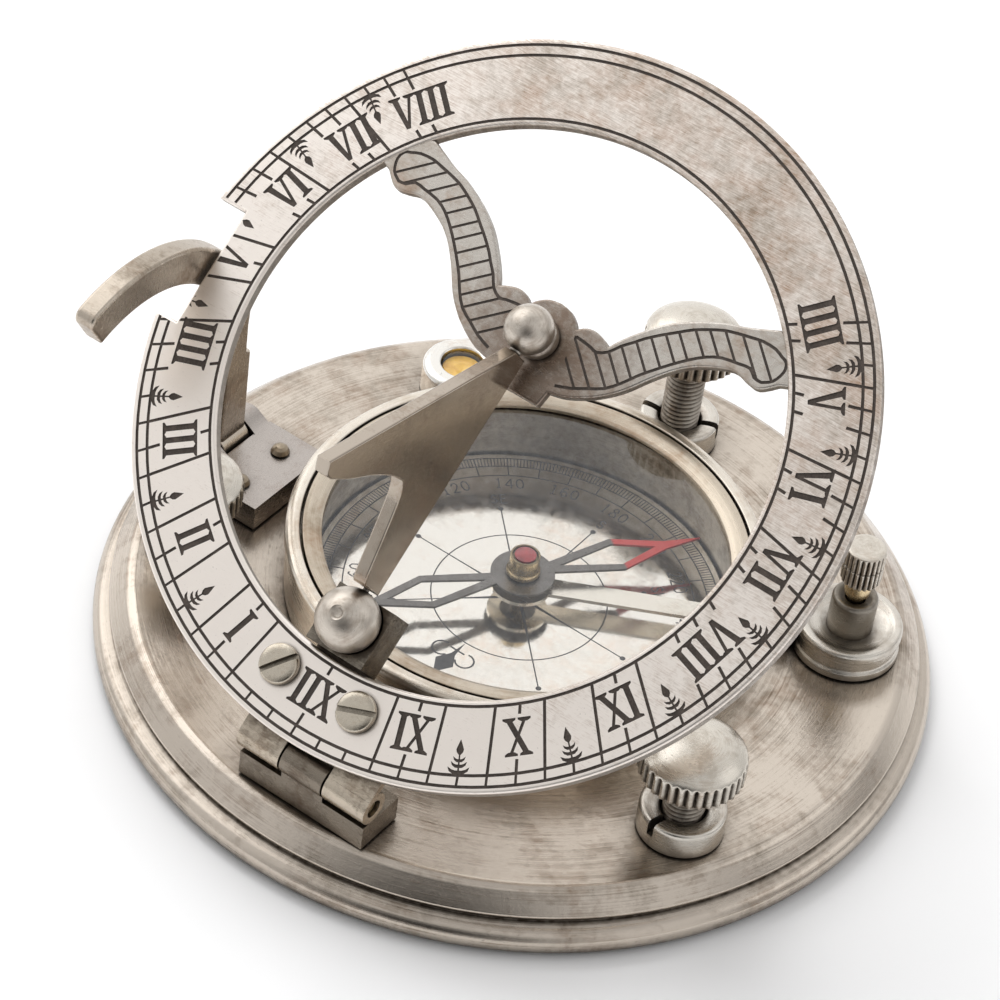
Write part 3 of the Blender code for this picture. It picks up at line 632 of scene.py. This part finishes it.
def numeral(text):
    """Polygons of a Roman numeral 5 mm tall, centred on x = 0, and its width."""
    wide = {"I": 1.72, "V": 3.3, "X": 3.25}
    total = sum(wide[c] for c in text)
    x = -total / 2
    shapes = []
    for letter in text:
        mid = x + wide[letter] / 2
        if letter == "I":
            shapes.append([(mid - 0.42, 0.3), (mid + 0.42, 0.3), (mid + 0.42, 4.7), (mid - 0.42, 4.7)])
            shapes += [serif(mid, 1), serif(mid, 0)]
        if letter == "V":
            shapes.append([(mid - 0.26, 0.0), (mid + 0.36, 0.0), (mid - 0.62, 4.75), (mid - 1.5, 4.75)])
            shapes.append([(mid - 0.1, 0.0), (mid + 0.36, 0.0), (mid + 1.32, 4.75), (mid + 0.86, 4.75)])
            shapes += [serif(mid - 1.07, 1), serif(mid + 1.08, 1)]
        if letter == "X":
            shapes.append([(mid + 0.64, 0.3), (mid + 1.48, 0.3), (mid - 0.64, 4.7), (mid - 1.48, 4.7)])
            shapes.append([(mid - 1.27, 0.3), (mid - 0.81, 0.3), (mid + 1.27, 4.7), (mid + 0.81, 4.7)])
            shapes += [serif(mid - 1.05, 1), serif(mid + 1.05, 0)]
            shapes += [serif(mid + 1.04, 1), serif(mid - 1.04, 0)]
        x += wide[letter]
    return shapes


def frond():
    """Polygons of a small palm leaf that grows along +y from the origin."""
    shapes = [[(-0.13, -0.1), (0.13, -0.1), (0.1, 3.0), (-0.1, 3.0)],
              [(0, 2.55), (0.42, 3.0), (0.52, 3.4), (0.3, 4.0), (0, 4.75), (-0.3, 4.0), (-0.52, 3.4),
               (-0.42, 3.0)]]
    for start, long in ((0.1, 1.5), (0.95, 1.1), (1.7, 0.85)):
        for side in (1, -1):
            leaf = [(0, start), (0.45, start + 0.05), (0.85, start + 0.4), (1.0, start + 0.95),
                    (0.62, start + 0.62), (0.3, start + 0.5), (0, start + 0.5)]
            shapes.append([(side * a * long, start + (b - start) * (0.55 + 0.35 * long))
                           for a, b in leaf])
    return shapes


def put_on_dial(shapes, radius, degrees, grow=1.0, out=True):
    """Stands shapes on the dial with their foot at a radius and their head outwards or inwards."""
    centre = Vector(dial(radius, degrees))
    up = centre.normalized() * (1 if out else -1)
    right = Vector((up.y, -up.x))
    return [[tuple(centre + right * x * grow + up * y * grow) for x, y in shape] for shape in shapes]


NUMERALS = ["XII", "I", "II", "III", "IIII", "V", "VI", "VII", "VIII"]
MORNING = ["XII", "XI", "X", "IX", "VIII", "VII", "VI", "V", "IIII"]
FULL_LINES = (11.25, 18.75, 26.25, 33.75, 41.25, 48.75, 63.75, 71.25, 78.75, 93.75, 108.75,
              -11.25, -18.75, -26.25, -33.75, -41.25, -48.75, -78.75, -93.75, -108.75)
SHORT_LINES = (56.25, 86.25, 101.25, 116.25, -56.25, -63.75, -71.25, -86.25, -101.25, -116.25)


def dial_marks():
    marks = ring_circle(OUTER_LINE, LINE) + ring_circle(BAND_LINE, LINE) + ring_circle(INNER_LINE, LINE)
    for k in range(-32, 33):
        marks += stroke(hour_line(k * 3.75, BAND_LINE, OUTER_LINE), FINE_LINE)
    for degrees in FULL_LINES:
        marks += stroke(hour_line(degrees, INNER_LINE, BAND_LINE), LINE)
    hours = [15.0 * k for k in range(-8, 9)]
    for degrees in [*SHORT_LINES, *hours]:
        marks += stroke(hour_line(degrees, INNER_LINE, 41.45), LINE)
        marks += stroke(hour_line(degrees, 47.4, BAND_LINE), LINE)
    for k, degrees in enumerate(hours):
        text = NUMERALS[k - 8] if k >= 8 else MORNING[8 - k]
        middle = hour_angle(degrees, 0.26)
        marks += put_on_dial(numeral(text), 42.0, middle, 0.98)
    for k in range(1, 8):
        for side in (1, -1):
            middle = hour_angle(side * (15.0 * k + 7.5), 0.235)
            marks += put_on_dial(frond(), BAND_LINE, middle, 1.0, out=False)
    return marks


def ring_outline():
    """The ring's outer edge with the notch that lets the latitude arc through."""
    radius, left, low, high = 51.6, -46.8, -11.6, 6.0
    start = math.degrees(math.asin(low / radius))
    end = math.degrees(math.asin(high / radius))
    rim = arc((0, 0), radius, -180 - start, 180 - end, 260)
    return rim + [(left, high), (left, low)]


def build_ring():
    hole = circle(39.3, 240)
    ring = slab(ring_outline(), -2.0, 0.0, [hole], dial_marks(), 0.14, 0.42, 0.2, wall=0.6)
    piece("ring_face", ring, ("ring", "cut"), "ring", PLANE, ["hour_ring"])


# ---------------------------------------------------------------- arms


def arm_outline():
    tab = [(4.8, 2.9)]
    lower = smooth_line([(5.1, 5.1), (7.3, 5.6), (9.8, 6.8), (12.0, 8.3), (14.2, 10.4), (16.4, 13.3),
                         (18.8, 16.0), (21.4, 17.9), (25.4, 19.5), (27.8, 19.1), (29.8, 19.0),
                         (31.9, 20.7)], 4)
    end = [(34.2, 21.6), (32.6, 24.0), (30.2, 26.8)]
    upper = smooth_line([(28.2, 27.2), (24.1, 25.5), (21.2, 24.6), (17.6, 22.9), (14.4, 20.8),
                         (11.8, 18.2), (10.0, 16.0), (9.0, 14.4)], 4)
    lobes = smooth_line([(9.0, 14.4), (7.9, 14.9), (6.4, 15.3), (5.0, 15.1), (3.8, 14.3)], 3)[1:]
    lobes += smooth_line([(3.8, 14.3), (3.0, 15.2), (1.7, 16.0), (0, 16.3)], 3)[1:-1]
    right = tab + lower + end + upper + lobes
    left = [(-x, y) for x, y in reversed(right)]
    return right + [(0.0, 16.3)] + left


def arm_marks():
    lower = smooth_line([(29.7, 20.0), (28.5, 20.1), (27.4, 20.9), (25.7, 20.7), (23.3, 20.3),
                         (21.4, 19.4), (19.6, 18.0), (17.8, 16.3), (16.1, 14.5), (14.7, 12.9),
                         (13.3, 11.0), (11.7, 9.3), (9.7, 8.2), (7.6, 7.1), (5.5, 6.4)], 2)
    upper = smooth_line([(30.3, 24.2), (29.0, 24.7), (27.0, 24.8), (25.3, 24.5), (23.4, 24.1),
                         (21.6, 23.6), (19.7, 22.7), (17.9, 21.7), (16.2, 20.4), (14.4, 19.0),
                         (12.8, 17.6), (11.8, 16.5), (10.5, 15.2), (9.4, 13.7), (8.0, 12.9),
                         (7.0, 13.1), (5.6, 13.3), (4.4, 13.4)], 2)
    middles = [(28.4, 22.9), (25.8, 22.8), (23.3, 22.3), (21.2, 21.6), (19.6, 20.6), (17.9, 19.2),
               (16.5, 18.1), (15.1, 16.7), (13.6, 15.3), (12.3, 13.7), (11.1, 12.3), (9.8, 11.1),
               (7.8, 10.1), (6.9, 8.3)]
    end = smooth_line([(29.7, 20.0), (31.0, 20.9), (31.6, 22.6), (31.2, 23.8), (30.3, 24.2)], 3)[1:-1]
    closed = lower[::-1] + end + upper
    turn = Vector(polar(6.0, 138.5))
    lines = []
    for middle in middles:
        middle = Vector(middle)
        lines.append([tuple(middle - turn), tuple(middle + turn)])
    return closed, lines


def build_arms():
    closed, lines = arm_marks()
    marks, limits = [], []
    for side in (1, -1):
        def flip(points):
            return [(side * x, y) for x, y in points]

        limits.append(inset(flip(closed), -LINE / 2))
        marks += stroke(flip(closed), LINE)
        marks += [quad for line in lines for quad in stroke(flip(line), FINE_LINE)]
    arms = slab(arm_outline(), -1.8, -0.2, [], marks, 0.12, 0.32, 0.2, limits, wall=0.55)
    piece("ring_arms", arms, ("arms", "cut"), "ring", PLANE, ())


# ---------------------------------------------------------------- compass card

GLYPHS = {
    "0": [[(0.5, 1.6), (0.18, 1.35), (0.08, 0.8), (0.18, 0.25), (0.5, 0), (0.82, 0.25), (0.92, 0.8),
           (0.82, 1.35), (0.5, 1.6)]],
    "1": [[(0.25, 1.3), (0.5, 1.6), (0.5, 0)], [(0.25, 0), (0.75, 0)]],
    "2": [[(0.12, 1.2), (0.3, 1.55), (0.65, 1.55), (0.85, 1.2), (0.7, 0.75), (0.1, 0), (0.9, 0)]],
    "3": [[(0.12, 1.35), (0.45, 1.6), (0.8, 1.3), (0.7, 0.95), (0.4, 0.85), (0.75, 0.75), (0.88, 0.4),
           (0.5, 0), (0.1, 0.25)]],
    "4": [[(0.7, 0), (0.7, 1.6), (0.05, 0.5), (0.95, 0.5)]],
    "6": [[(0.8, 1.45), (0.5, 1.6), (0.15, 1.1), (0.1, 0.5), (0.45, 0), (0.85, 0.3), (0.8, 0.75),
           (0.45, 0.95), (0.12, 0.6)]],
    "8": [[(0.5, 0.87), (0.2, 1.15), (0.3, 1.52), (0.5, 1.6), (0.7, 1.52), (0.8, 1.15), (0.5, 0.87),
           (0.12, 0.5), (0.2, 0.1), (0.5, 0), (0.8, 0.1), (0.88, 0.5), (0.5, 0.87)]],
    "E": [[(0.85, 1.6), (0.15, 1.6), (0.15, 0), (0.9, 0)], [(0.15, 0.85), (0.7, 0.85)]],
    "N": [[(0.1, 0), (0.1, 1.6), (0.9, 0), (0.9, 1.6)]],
    "S": [[(0.85, 1.35), (0.5, 1.6), (0.15, 1.3), (0.25, 0.95), (0.75, 0.7), (0.88, 0.35), (0.5, 0),
           (0.12, 0.25)]],
    "W": [[(0.0, 1.6), (0.25, 0), (0.5, 1.1), (0.75, 0), (1.0, 1.6)]],
}


def words(text, size, width):
    shapes = []
    gap = 1.25
    x = -(len(text) * gap - 0.25) / 2
    for letter in text:
        for line in GLYPHS[letter]:
            shapes += stroke([((x + a) * size, b * size) for a, b in line], width)
        x += gap
    return shapes


CARD_CIRCLES = (25.2, 27.2, 28.9)


def card_marks():
    marks = ring_circle(12.6, 0.2)
    for radius in CARD_CIRCLES:
        marks += ring_circle(radius, 0.2)
    near, middle, far = CARD_CIRCLES
    for degrees in range(360):
        first = near if degrees % 10 == 0 else middle
        marks += stroke([dial(first, degrees), dial(far, degrees)], 0.14 if degrees % 10 else 0.2)
    for degrees in range(0, 360, 20):
        marks += put_on_dial(words(str(degrees), 1.25, 0.22), 22.5, degrees)
    points = ("N", "NE", "E", "SE", "S", "SW", "W", "NW")
    for k, text in enumerate(points):
        degrees = 45 * k
        if k:
            marks += [[dial(2.0, degrees - 8), dial(2.0, degrees + 8), dial(9.0, degrees + 0.7),
                       dial(18.1, degrees + 0.3), dial(18.1, degrees - 0.3), dial(9.0, degrees - 0.7)]]
            centre = dial(18.1, degrees)
            marks.append(circle(0.42, 14, centre))
            marks += put_on_dial(words(text, 1.1, 0.2), 19.3, degrees)
    diamond = [(0, 20.2), (1.5, 17.6), (0.35, 15.6), (0, 12.6), (-0.35, 15.6), (-1.5, 17.6)]
    scroll = arc((2.0, 15.6), 1.35, 150, -100, 12)
    marks += put_on_dial([diamond], 0.001, 0)
    for side in (1, -1):
        marks += put_on_dial(stroke([(side * x, y) for x, y in scroll], 0.28), 0.001, 0)
    marks += put_on_dial(stroke([(-1.2, 14.6), (1.2, 14.6)], 0.28), 0.001, 0)
    return marks


def build_compass():
    card = slab(circle(29.8, 160), 7.5, 8.1, [circle(1.3, 32)], card_marks(), 0.02, 0.08)
    piece("card_face", card, ("card", "ink"), "base", None, ["compass_card"])

    bowl = lathe([(0, 7.2), (30.2, 7.2), (30.2, 16.6, 0.2), (33.6, 16.6, 0.35), (33.6, 9.2, 0.4),
                  (31.7, 9.2)], 192, soil_and_shade=lambda r, z: 0.6 if r < 31 and z < 16.5 else 0.0)
    piece("compass_body", bowl, "case", "base", None, ["compass_bowl"])
    rim = lathe([(31.98, 17.0), (31.98, 19.4, 0.25), (33.2, 19.4, 0.5), (34.0, 18.9, 0.6),
                 (34.0, 16.95, 0.2), (32.0, 16.95)], 192)
    piece("bezel_rim", rim, "case", "base", None, ["compass_bezel"])
    lip = lathe([(31.6, 18.2), (31.6, 19.3, 0.15), (30.6, 19.25, 0.4), (29.4, 18.95, 0.3),
                 (28.8, 18.62, 0.15), (28.8, 18.2)], 192)
    piece("window_lip", lip, "case_inner", "base", None, ["glass_retaining_ring"])

    place = at(turn=58.0)
    half = [(4.0, 1.0), (9.5, 2.2), (14.5, 3.2), (18.2, 2.0), (22.0, 0.75), (27.5, 0.06)]
    right = [(x, -y) for x, y in half] + half[::-1]
    left = [(-x, -y) for x, y in right]
    hub_up = arc((0, 0), 4.6, 13, 167, 18)
    hub_low = arc((0, 0), 4.6, 193, 347, 18)
    outline = right + hub_up + left + hub_low
    windows = [[(s * x, s * y) for x, y in ((5.6, 0), (14.5, -2.1), (20.5, 0), (14.5, 2.1))]
               for s in (1, -1)]
    blade = slab(outline, 12.5, 12.9, [*windows, circle(1.6, 24)], (), 0, 0.06)
    piece("needle_blade", blade, "needle", "needle", place, ["compass_needle"])
    cap = lathe([(1.3, 13.2), (2.45, 13.2, 0.1), (2.45, 13.7, 0.15), (2.15, 14.0, 0.2),
                 (2.15, 16.4, 0.15), (1.85, 16.4, 0.1), (1.85, 15.9), (0, 15.9)], 48)
    piece("needle_bearing", cap, "brass", "needle", None, ["needle_cap"])
    dress(["needle_jewel"], "jewel")
    dress(["needle_pivot_pin"], "brass")
    dress(["compass_glass"], "glass")
    dress(["arrest_lever"], "lever")


# ---------------------------------------------------------------- base and its fittings


def build_base():
    profile = [(31.9, 8.9), (54.6, 8.9, 0.35), (55.5, 8.45, 0.3), (56.8, 7.1, 0.4), (57.9, 5.9, 0.35),
               (57.5, 5.2, 0.25), (57.1, 4.75, 0.2), (58.2, 4.28, 0.15)]
    bead = [polar(2.1, 82 - 164 * k / 14) for k in range(15)]
    profile += [(57.9 + x, 2.2 + z) for x, z in bead]
    profile += [(58.4, 0.0, 0.1), (56.4, 0.0, 0.2), (55.6, 1.0), (55.2, 6.0, 0.5), (54.0, 6.9, 0.4),
                (31.9, 6.9)]
    # The groove below the band is painted dark: patina and painted shade in the hollow.
    disc = lathe(profile, 256, soil_and_shade=lambda r, z: 1.0 if 56.9 < r < 57.75 and 4.4 < z < 5.7 else 0.0)
    plate = piece("base_disc", disc, "base", "base", None, ["base_plate"])
    bores = []
    for reach, bearing, _, _ in LEVELLING.values():
        bore = lathe([(0, 5.0), (3.4, 5.0), (3.4, 10.0), (0, 10.0)], 48)
        bores.append(moved(bore, at(*polar(reach, bearing))))
    cut_with(plate, join(*bores))


LEVELLING = {
    "front": (47.5, -26.6, 19.8, 78.0),
    "rear": (43.0, 93.5, 25.5, 16.0),
    "left": (47.5, 211.8, 18.4, 50.0),
}


def cut_with(obj, bm):
    """Cuts a mesh away from a piece for good."""
    mesh = bpy.data.meshes.new("cutter")
    bm.to_mesh(mesh)
    bm.free()
    cutter = bpy.data.objects.new("cutter", mesh)
    bpy.context.scene.collection.objects.link(cutter)
    cutter.matrix_world = obj.matrix_world.copy()
    modifier = obj.modifiers.new("cut", "BOOLEAN")
    modifier.operation = "DIFFERENCE"
    modifier.object = cutter
    while obj.modifiers[0] != modifier:
        bpy.context.view_layer.objects.active = obj
        obj.modifiers.move(len(obj.modifiers) - 1, 0)
    bpy.context.view_layer.update()
    graph = bpy.context.evaluated_depsgraph_get()
    normals = [m for m in obj.modifiers if m != modifier]
    for m in normals:
        m.show_viewport = False
    graph.update()
    made = bpy.data.meshes.new_from_object(obj.evaluated_get(graph))
    for m in normals:
        m.show_viewport = True
    obj.modifiers.remove(modifier)
    obj.data = made
    obj.data.set_sharp_from_angle(angle=math.radians(32))
    bpy.data.objects.remove(cutter)


def block(x, y, z):
    bm = bmesh.new()
    bmesh.ops.create_cube(bm, size=1.0)
    for v in bm.verts:
        v.co = Vector([(a + b) / 2 + c * (b - a) for (a, b), c in zip((x, y, z), v.co)]) * MM
    return bm


def build_levelling():
    for name, (reach, bearing, seat, slot) in LEVELLING.items():
        x, y = polar(reach, bearing)
        collar = lathe([(3.2, 8.6), (6.0, 9.2), (6.0, 11.0), (6.0, 13.4, 0.9), (4.6, 13.3, 0.3),
                        (3.9, 13.15, 0.3), (3.2, 12.9, 0.3), (3.2, 8.6)], 72)
        ring = piece(f"collar_{name}", collar, "turned", "base", at(x, y, 0, slot),
                     [f"levelling_collar_{name}"])
        cut_with(ring, block((-8, 8), (-0.55, 0.55), (11.0, 15.0)))
        body = f"levelling_rod_{name}"
        rod = threaded(2.9, -17.4, -0.3, 0.8, 0.42)
        piece(f"screw_thread_{name}", rod, "thread", body, at(x, y, seat), [f"levelling_screw_{name}"],
              50)
        flutes = 34

        def wave(angle, radius, height):
            if radius < 6.6 or height < 0.1 or height > 3.7:
                return 0.0
            fade = min(1.0, (height - 0.1) / 0.3, (3.7 - height) / 0.4)
            return 0.5 * fade * (1 - abs(math.sin(flutes * angle / 2)) ** 0.8)

        head = lathe([(2.1, 0.6), (2.1, 0.0), (6.7, 0.0), (7.3, 0.45), (7.3, 1.2), (7.3, 2.0), (7.3, 2.8),
                      (7.3, 3.3, 0.3), (7.0, 3.9, 0.4), (5.6, 4.95, 0.8), (3.4, 5.8, 0.9), (1.5, 6.15, 0.6),
                      (0, 6.2)], flutes * 8, wave)
        piece(f"screw_head_{name}", head, "head", f"levelling_head_{name}", at(x, y, seat),
              [f"levelling_head_{name}"], 50)


def build_arrest():
    x, y = polar(46.5, 30.0)
    place = at(x, y, 0, 30.0)
    # The flange's top round the socket is painted a little darker: patina and painted shade between the
    # parts.
    flange = lathe([(1.5, 12.9), (3.6, 12.95, 0.3), (5.4, 13.3, 0.6), (6.4, 13.95, 0.3), (7.3, 14.0, 0.3),
                    (7.6, 13.5, 0.3), (7.6, 12.6), (7.25, 12.3, 0.3), (7.25, 10.6, 0.3), (7.6, 10.2, 0.2),
                    (7.6, 9.2), (1.5, 9.2)], 96, soil_and_shade=lambda r, z: 0.1 if r < 5.6 else 0.0)
    piece("arrest_seat", flange, "turned", "base", place, ["arrest_flange"])
    bush = lathe([(1.5, 12.8), (3.3, 12.8), (3.3, 18.4, 0.3), (3.0, 18.9, 0.2), (2.5, 18.8, 0.2),
                  (1.9, 18.45, 0.2), (1.5, 18.3)], 64)
    piece("arrest_socket", bush, "dark", "base", place, ["arrest_bush"])
    flutes = 22

    def wave(angle, radius, height):
        if radius < 2.3 or height < 21.9 or height > 27.8:
            return 0.0
        cut = 0.34 * (1 - abs(math.sin(flutes * angle / 2)) ** 0.9)
        return cut + (0.16 if abs(height - 25.1) < 0.12 else 0.0)

    neck = lathe([(0, 17.0), (1.2, 17.0), (1.2, 19.2), (1.8, 19.3, 0.2), (1.9, 20.6), (1.75, 21.6, 0.3),
                  (1.9, 22.1), (0, 22.1)], 48)
    piece("arrest_neck", neck, "brass", "arrest_knob", place, ())
    knob = lathe([(0, 22.0), (2.3, 22.0), (2.75, 22.05), (2.9, 22.4), (2.9, 24.8), (2.9, 24.95),
                  (2.9, 25.1), (2.9, 25.25), (2.9, 25.4), (2.9, 27.5), (2.75, 27.9, 0.1), (2.3, 28.0, 0.2),
                  (0, 27.95)], flutes * 8, wave)
    piece("arrest_button", knob, "head", "arrest_knob", place, ["arrest_knob"], 50)
    dress(["lever_guide"], "turned", 0.2)


def build_level():
    x, y = polar(43.6, 138.5)
    housing = lathe([(0, 10.4), (3.3, 10.4), (3.3, 14.0), (3.5, 14.2, 0.15), (5.2, 14.2, 0.5),
                     (6.0, 13.6, 0.5), (6.0, 9.2)], 96)
    piece("level_cup", housing, "level", "base", at(x, y), ["level_housing"])
    dress(["level_liquid"], "liquid")
    dress(["level_window"], "window")


def build_hinge():
    dress(["hinge_block"], "hinge", 0.22)
    dress(["hinge_leaf"], "leaf", 0.2)
    dress(["hinge_pin", "hinge_block_screw_left", "hinge_block_screw_right", "arc_hinge_pin"], "brass")
    for side, x, slot in (("left", -6.45, 50.0), ("right", 6.45, 20.0)):
        head = lathe([(0, -3.0), (1.3, -3.0), (1.3, 0.1), (2.8, 0.1, 0.1), (2.8, 1.15, 0.35),
                      (2.0, 1.36, 0.3), (0, 1.42)], 48)
        screw = piece(f"ring_screw_head_{side}", head, "ring_screw", "ring", PLANE @ at(x, -43.6, 0, slot),
                      [f"ring_screw_{side}"])
        cut_with(screw, block((-4, 4), (-0.38, 0.38), (0.6, 3.0)))


def build_gnomon():
    throat = smooth_line([(-20.9, 33.6), (-19.5, 29.0), (-17.3, 23.6), (-15.9, 18.6), (-15.5, 15.0)], 6)
    foot = smooth_line([(-15.5, 15.0), (-17.4, 13.0), (-22.6, 10.6), (-28.2, 8.3), (-29.3, 7.4)], 5)[1:]
    outline = [(-29.3, 1.9), (7.0, 1.9), (7.0, 5.8), (-19.3, 36.9), (-20.9, 35.4)] + throat + foot
    plate = slab(outline, -1.0, 1.0, (), (), 0, 0.28, plane="YZ")
    piece("gnomon_plate", plate, "gnomon", "gnomon", PLANE, ["gnomon"])

    seat = lathe([(0, -2.2), (1.3, -2.2), (1.3, 0.1), (3.0, 0.1, 0.1), (3.0, 1.3, 0.3), (2.4, 2.4, 0.4),
                  (0, 2.4)], 64)
    ball = lathe([polar(3.4, -90 + 180 * k / 32) for k in range(33)], 64)
    piece("post_foot", seat, "ball", "ring", PLANE @ at(0, 10.7, 0), ["gnomon_post"])
    piece("post_ball", ball, "ball", "ring", PLANE @ at(0, 10.7, 4.1), ())
    lower = [polar(4.4, -90 + 180 * k / 40) for k in range(38)]
    lower += [(0.85, 4.22), (0.6, 3.95), (0, 3.85)]
    piece("pivot_ball", lathe(lower, 72), "ball", "ring", PLANE @ at(0, -34.0, 4.1),
          ["gnomon_pivot_screw"])
    tip = lathe([(0, 0), (1.0, 0), (1.0, 4.2, 0.2), (0.45, 4.4), (0.45, 7.2), (0, 7.2)], 24)
    lie = Matrix.Rotation(math.radians(-90), 4, "X")
    piece("pivot_tip", tip, "turned", "ring", PLANE @ at(0, -34.0, 4.1) @ lie, ())
    tip = lathe([(0, 0), (0.9, 0), (0.9, 3.6, 0.2), (0.45, 3.8), (0.45, 6.0), (0, 6.0)], 24)
    lie = Matrix.Rotation(math.radians(90), 4, "X")
    piece("post_tip", tip, "turned", "ring", PLANE @ at(0, 10.7, 4.1) @ lie, ())


def build_arc():
    centre = (-29.2, 33.0)
    outer = arc(centre, 25.0, 12, 112.5, 60)
    tip = arc((centre[0] + polar(23.4, 112.5)[0], centre[1] + polar(23.4, 112.5)[1]), 1.6, 112.5, 202.5, 6)
    inner = arc(centre, 19.4, 115.5, 0, 60)
    near, far = centre[0] + 19.4, centre[0] + 25.0
    outline = [(near, 12.2), (far, 12.2), (far, 28.4), (far - 0.9, 29.0), (far - 0.9, 34.0)]
    bar = slab(outline + outer + tip[1:] + inner, -48.95 - 1.65, -48.95 + 1.65, (), (), 0, 0.55,
               plane="YZ", wall=0.25)
    knuckle = lathe([(0, 0), (2.6, 0, 0.2), (2.6, far - near, 0.2), (0, far - near)], 40)
    moved(knuckle, at(-48.95, near, 12.2) @ Matrix.Rotation(math.radians(-90), 4, "X"))
    piece("arc_bar", join(bar, knuckle), "arc", "arc", None, ["latitude_arc"])
    dress(["arc_bracket"], "bracket", 0.25)
    dress(["arc_rivet_front", "arc_rivet_rear"], "rivet")


# ---------------------------------------------------------------- floor, lights and camera


def build_stage():
    bm = bmesh.new()
    bmesh.ops.create_grid(bm, x_segments=1, y_segments=1, size=4.0)
    mesh = bpy.data.meshes.new("floor")
    bm.to_mesh(mesh)
    bm.free()
    floor = bpy.data.objects.new("floor", mesh)
    bpy.context.scene.collection.objects.link(floor)
    material = bpy.data.materials.new("pale_floor")
    material.use_nodes = True
    shader = material.node_tree.nodes["Principled BSDF"]
    shader.inputs["Base Color"].default_value = (0.97, 0.97, 0.975, 1)
    shader.inputs["Roughness"].default_value = 0.9
    shader.inputs["Specular IOR Level"].default_value = 0.1
    mesh.materials.append(material)


def panel(tree, direction, inner, outer, strength):
    """A soft round patch of brightness in one direction of the surroundings."""
    towards = Vector(direction).normalized()
    facing = node(tree, "ShaderNodeVectorMath", {
        0: node(tree, "ShaderNodeTexCoord").outputs["Generated"], 1: towards}, operation="DOT_PRODUCT")
    return spread(tree, facing.outputs["Value"], math.cos(math.radians(outer)),
                  math.cos(math.radians(inner)), 0.0, strength)


def build_light():
    scene = bpy.context.scene
    world = bpy.data.worlds.new("studio")
    scene.world = world
    world.use_nodes = True
    tree = world.node_tree
    back = tree.nodes["Background"]
    glow = panel(tree, (-0.6, 0.6, 0.52), 15, 60, 0.42)
    for direction, inner, outer, less in (((0.3, -0.8, 0.5), 6, 34, 0.4), ((0.9, 0.5, 0.25), 6, 34, 0.45),
                                          ((0.3, -0.9, 0.1), 10, 50, 0.4), ((0, 0, 1), 5, 30, 0.2)):
        glow = maths(tree, "SUBTRACT", glow, panel(tree, direction, inner, outer, less))
    glow = maths(tree, "ADD", glow, 0.78)
    seen = node(tree, "ShaderNodeLightPath").outputs["Is Camera Ray"]
    strength = maths(tree, "ADD", maths(tree, "MULTIPLY", glow, maths(tree, "SUBTRACT", 1.0, seen)),
                     maths(tree, "MULTIPLY", seen, 0.95))
    back.inputs["Color"].default_value = (1.0, 1.0, 1.0, 1)
    tree.links.new(strength, back.inputs["Strength"])

    for name, direction, size, power, mirrored in (
        ("key", (-0.9, 0.05, 0.8), 0.8, 1.3, True),
        ("side", (0.9, 0.55, 0.6), 0.5, 0.35, True),
        ("floor_light", (-0.6, 0.35, 0.9), 0.5, 2.1, False),
    ):
        data = bpy.data.lights.new(name, "AREA")
        data.shape = "DISK"
        data.size = size
        data.energy = power
        lamp = bpy.data.objects.new(name, data)
        lamp.visible_glossy = mirrored
        direction = Vector(direction).normalized()
        lamp.location = direction * 0.75 + Vector((0, 0, 0.03))
        lamp.rotation_mode = "QUATERNION"
        lamp.rotation_quaternion = (-direction).to_track_quat("-Z", "Y")
        scene.collection.objects.link(lamp)
    scene.view_settings.view_transform = "Standard"


def build_camera():
    turn, lift, roll = math.radians(31.0), math.radians(42.64), math.radians(8.37)
    back = Vector((math.sin(turn) * math.cos(lift), -math.cos(turn) * math.cos(lift), math.sin(lift)))
    right = Vector((math.cos(turn), math.sin(turn), 0))
    up = right.cross(-back)
    across = right * math.cos(roll) + up * math.sin(roll)
    above = -right * math.sin(roll) + up * math.cos(roll)
    place = Matrix((across, above, back)).transposed().to_4x4()
    place.translation = right * -0.00468 + up * 0.0191 + back * 0.54446
    data = bpy.data.cameras.new("camera")
    data.lens = 136.8
    data.clip_start = 0.01
    camera = bpy.data.objects.new("camera", data)
    camera.matrix_world = place
    bpy.context.scene.collection.objects.link(camera)
    bpy.context.scene.camera = camera


build_ring()
build_arms()
build_compass()
build_base()
build_levelling()
build_arrest()
build_level()
build_hinge()
build_gnomon()
build_arc()
build_stage()
build_light()
build_camera()
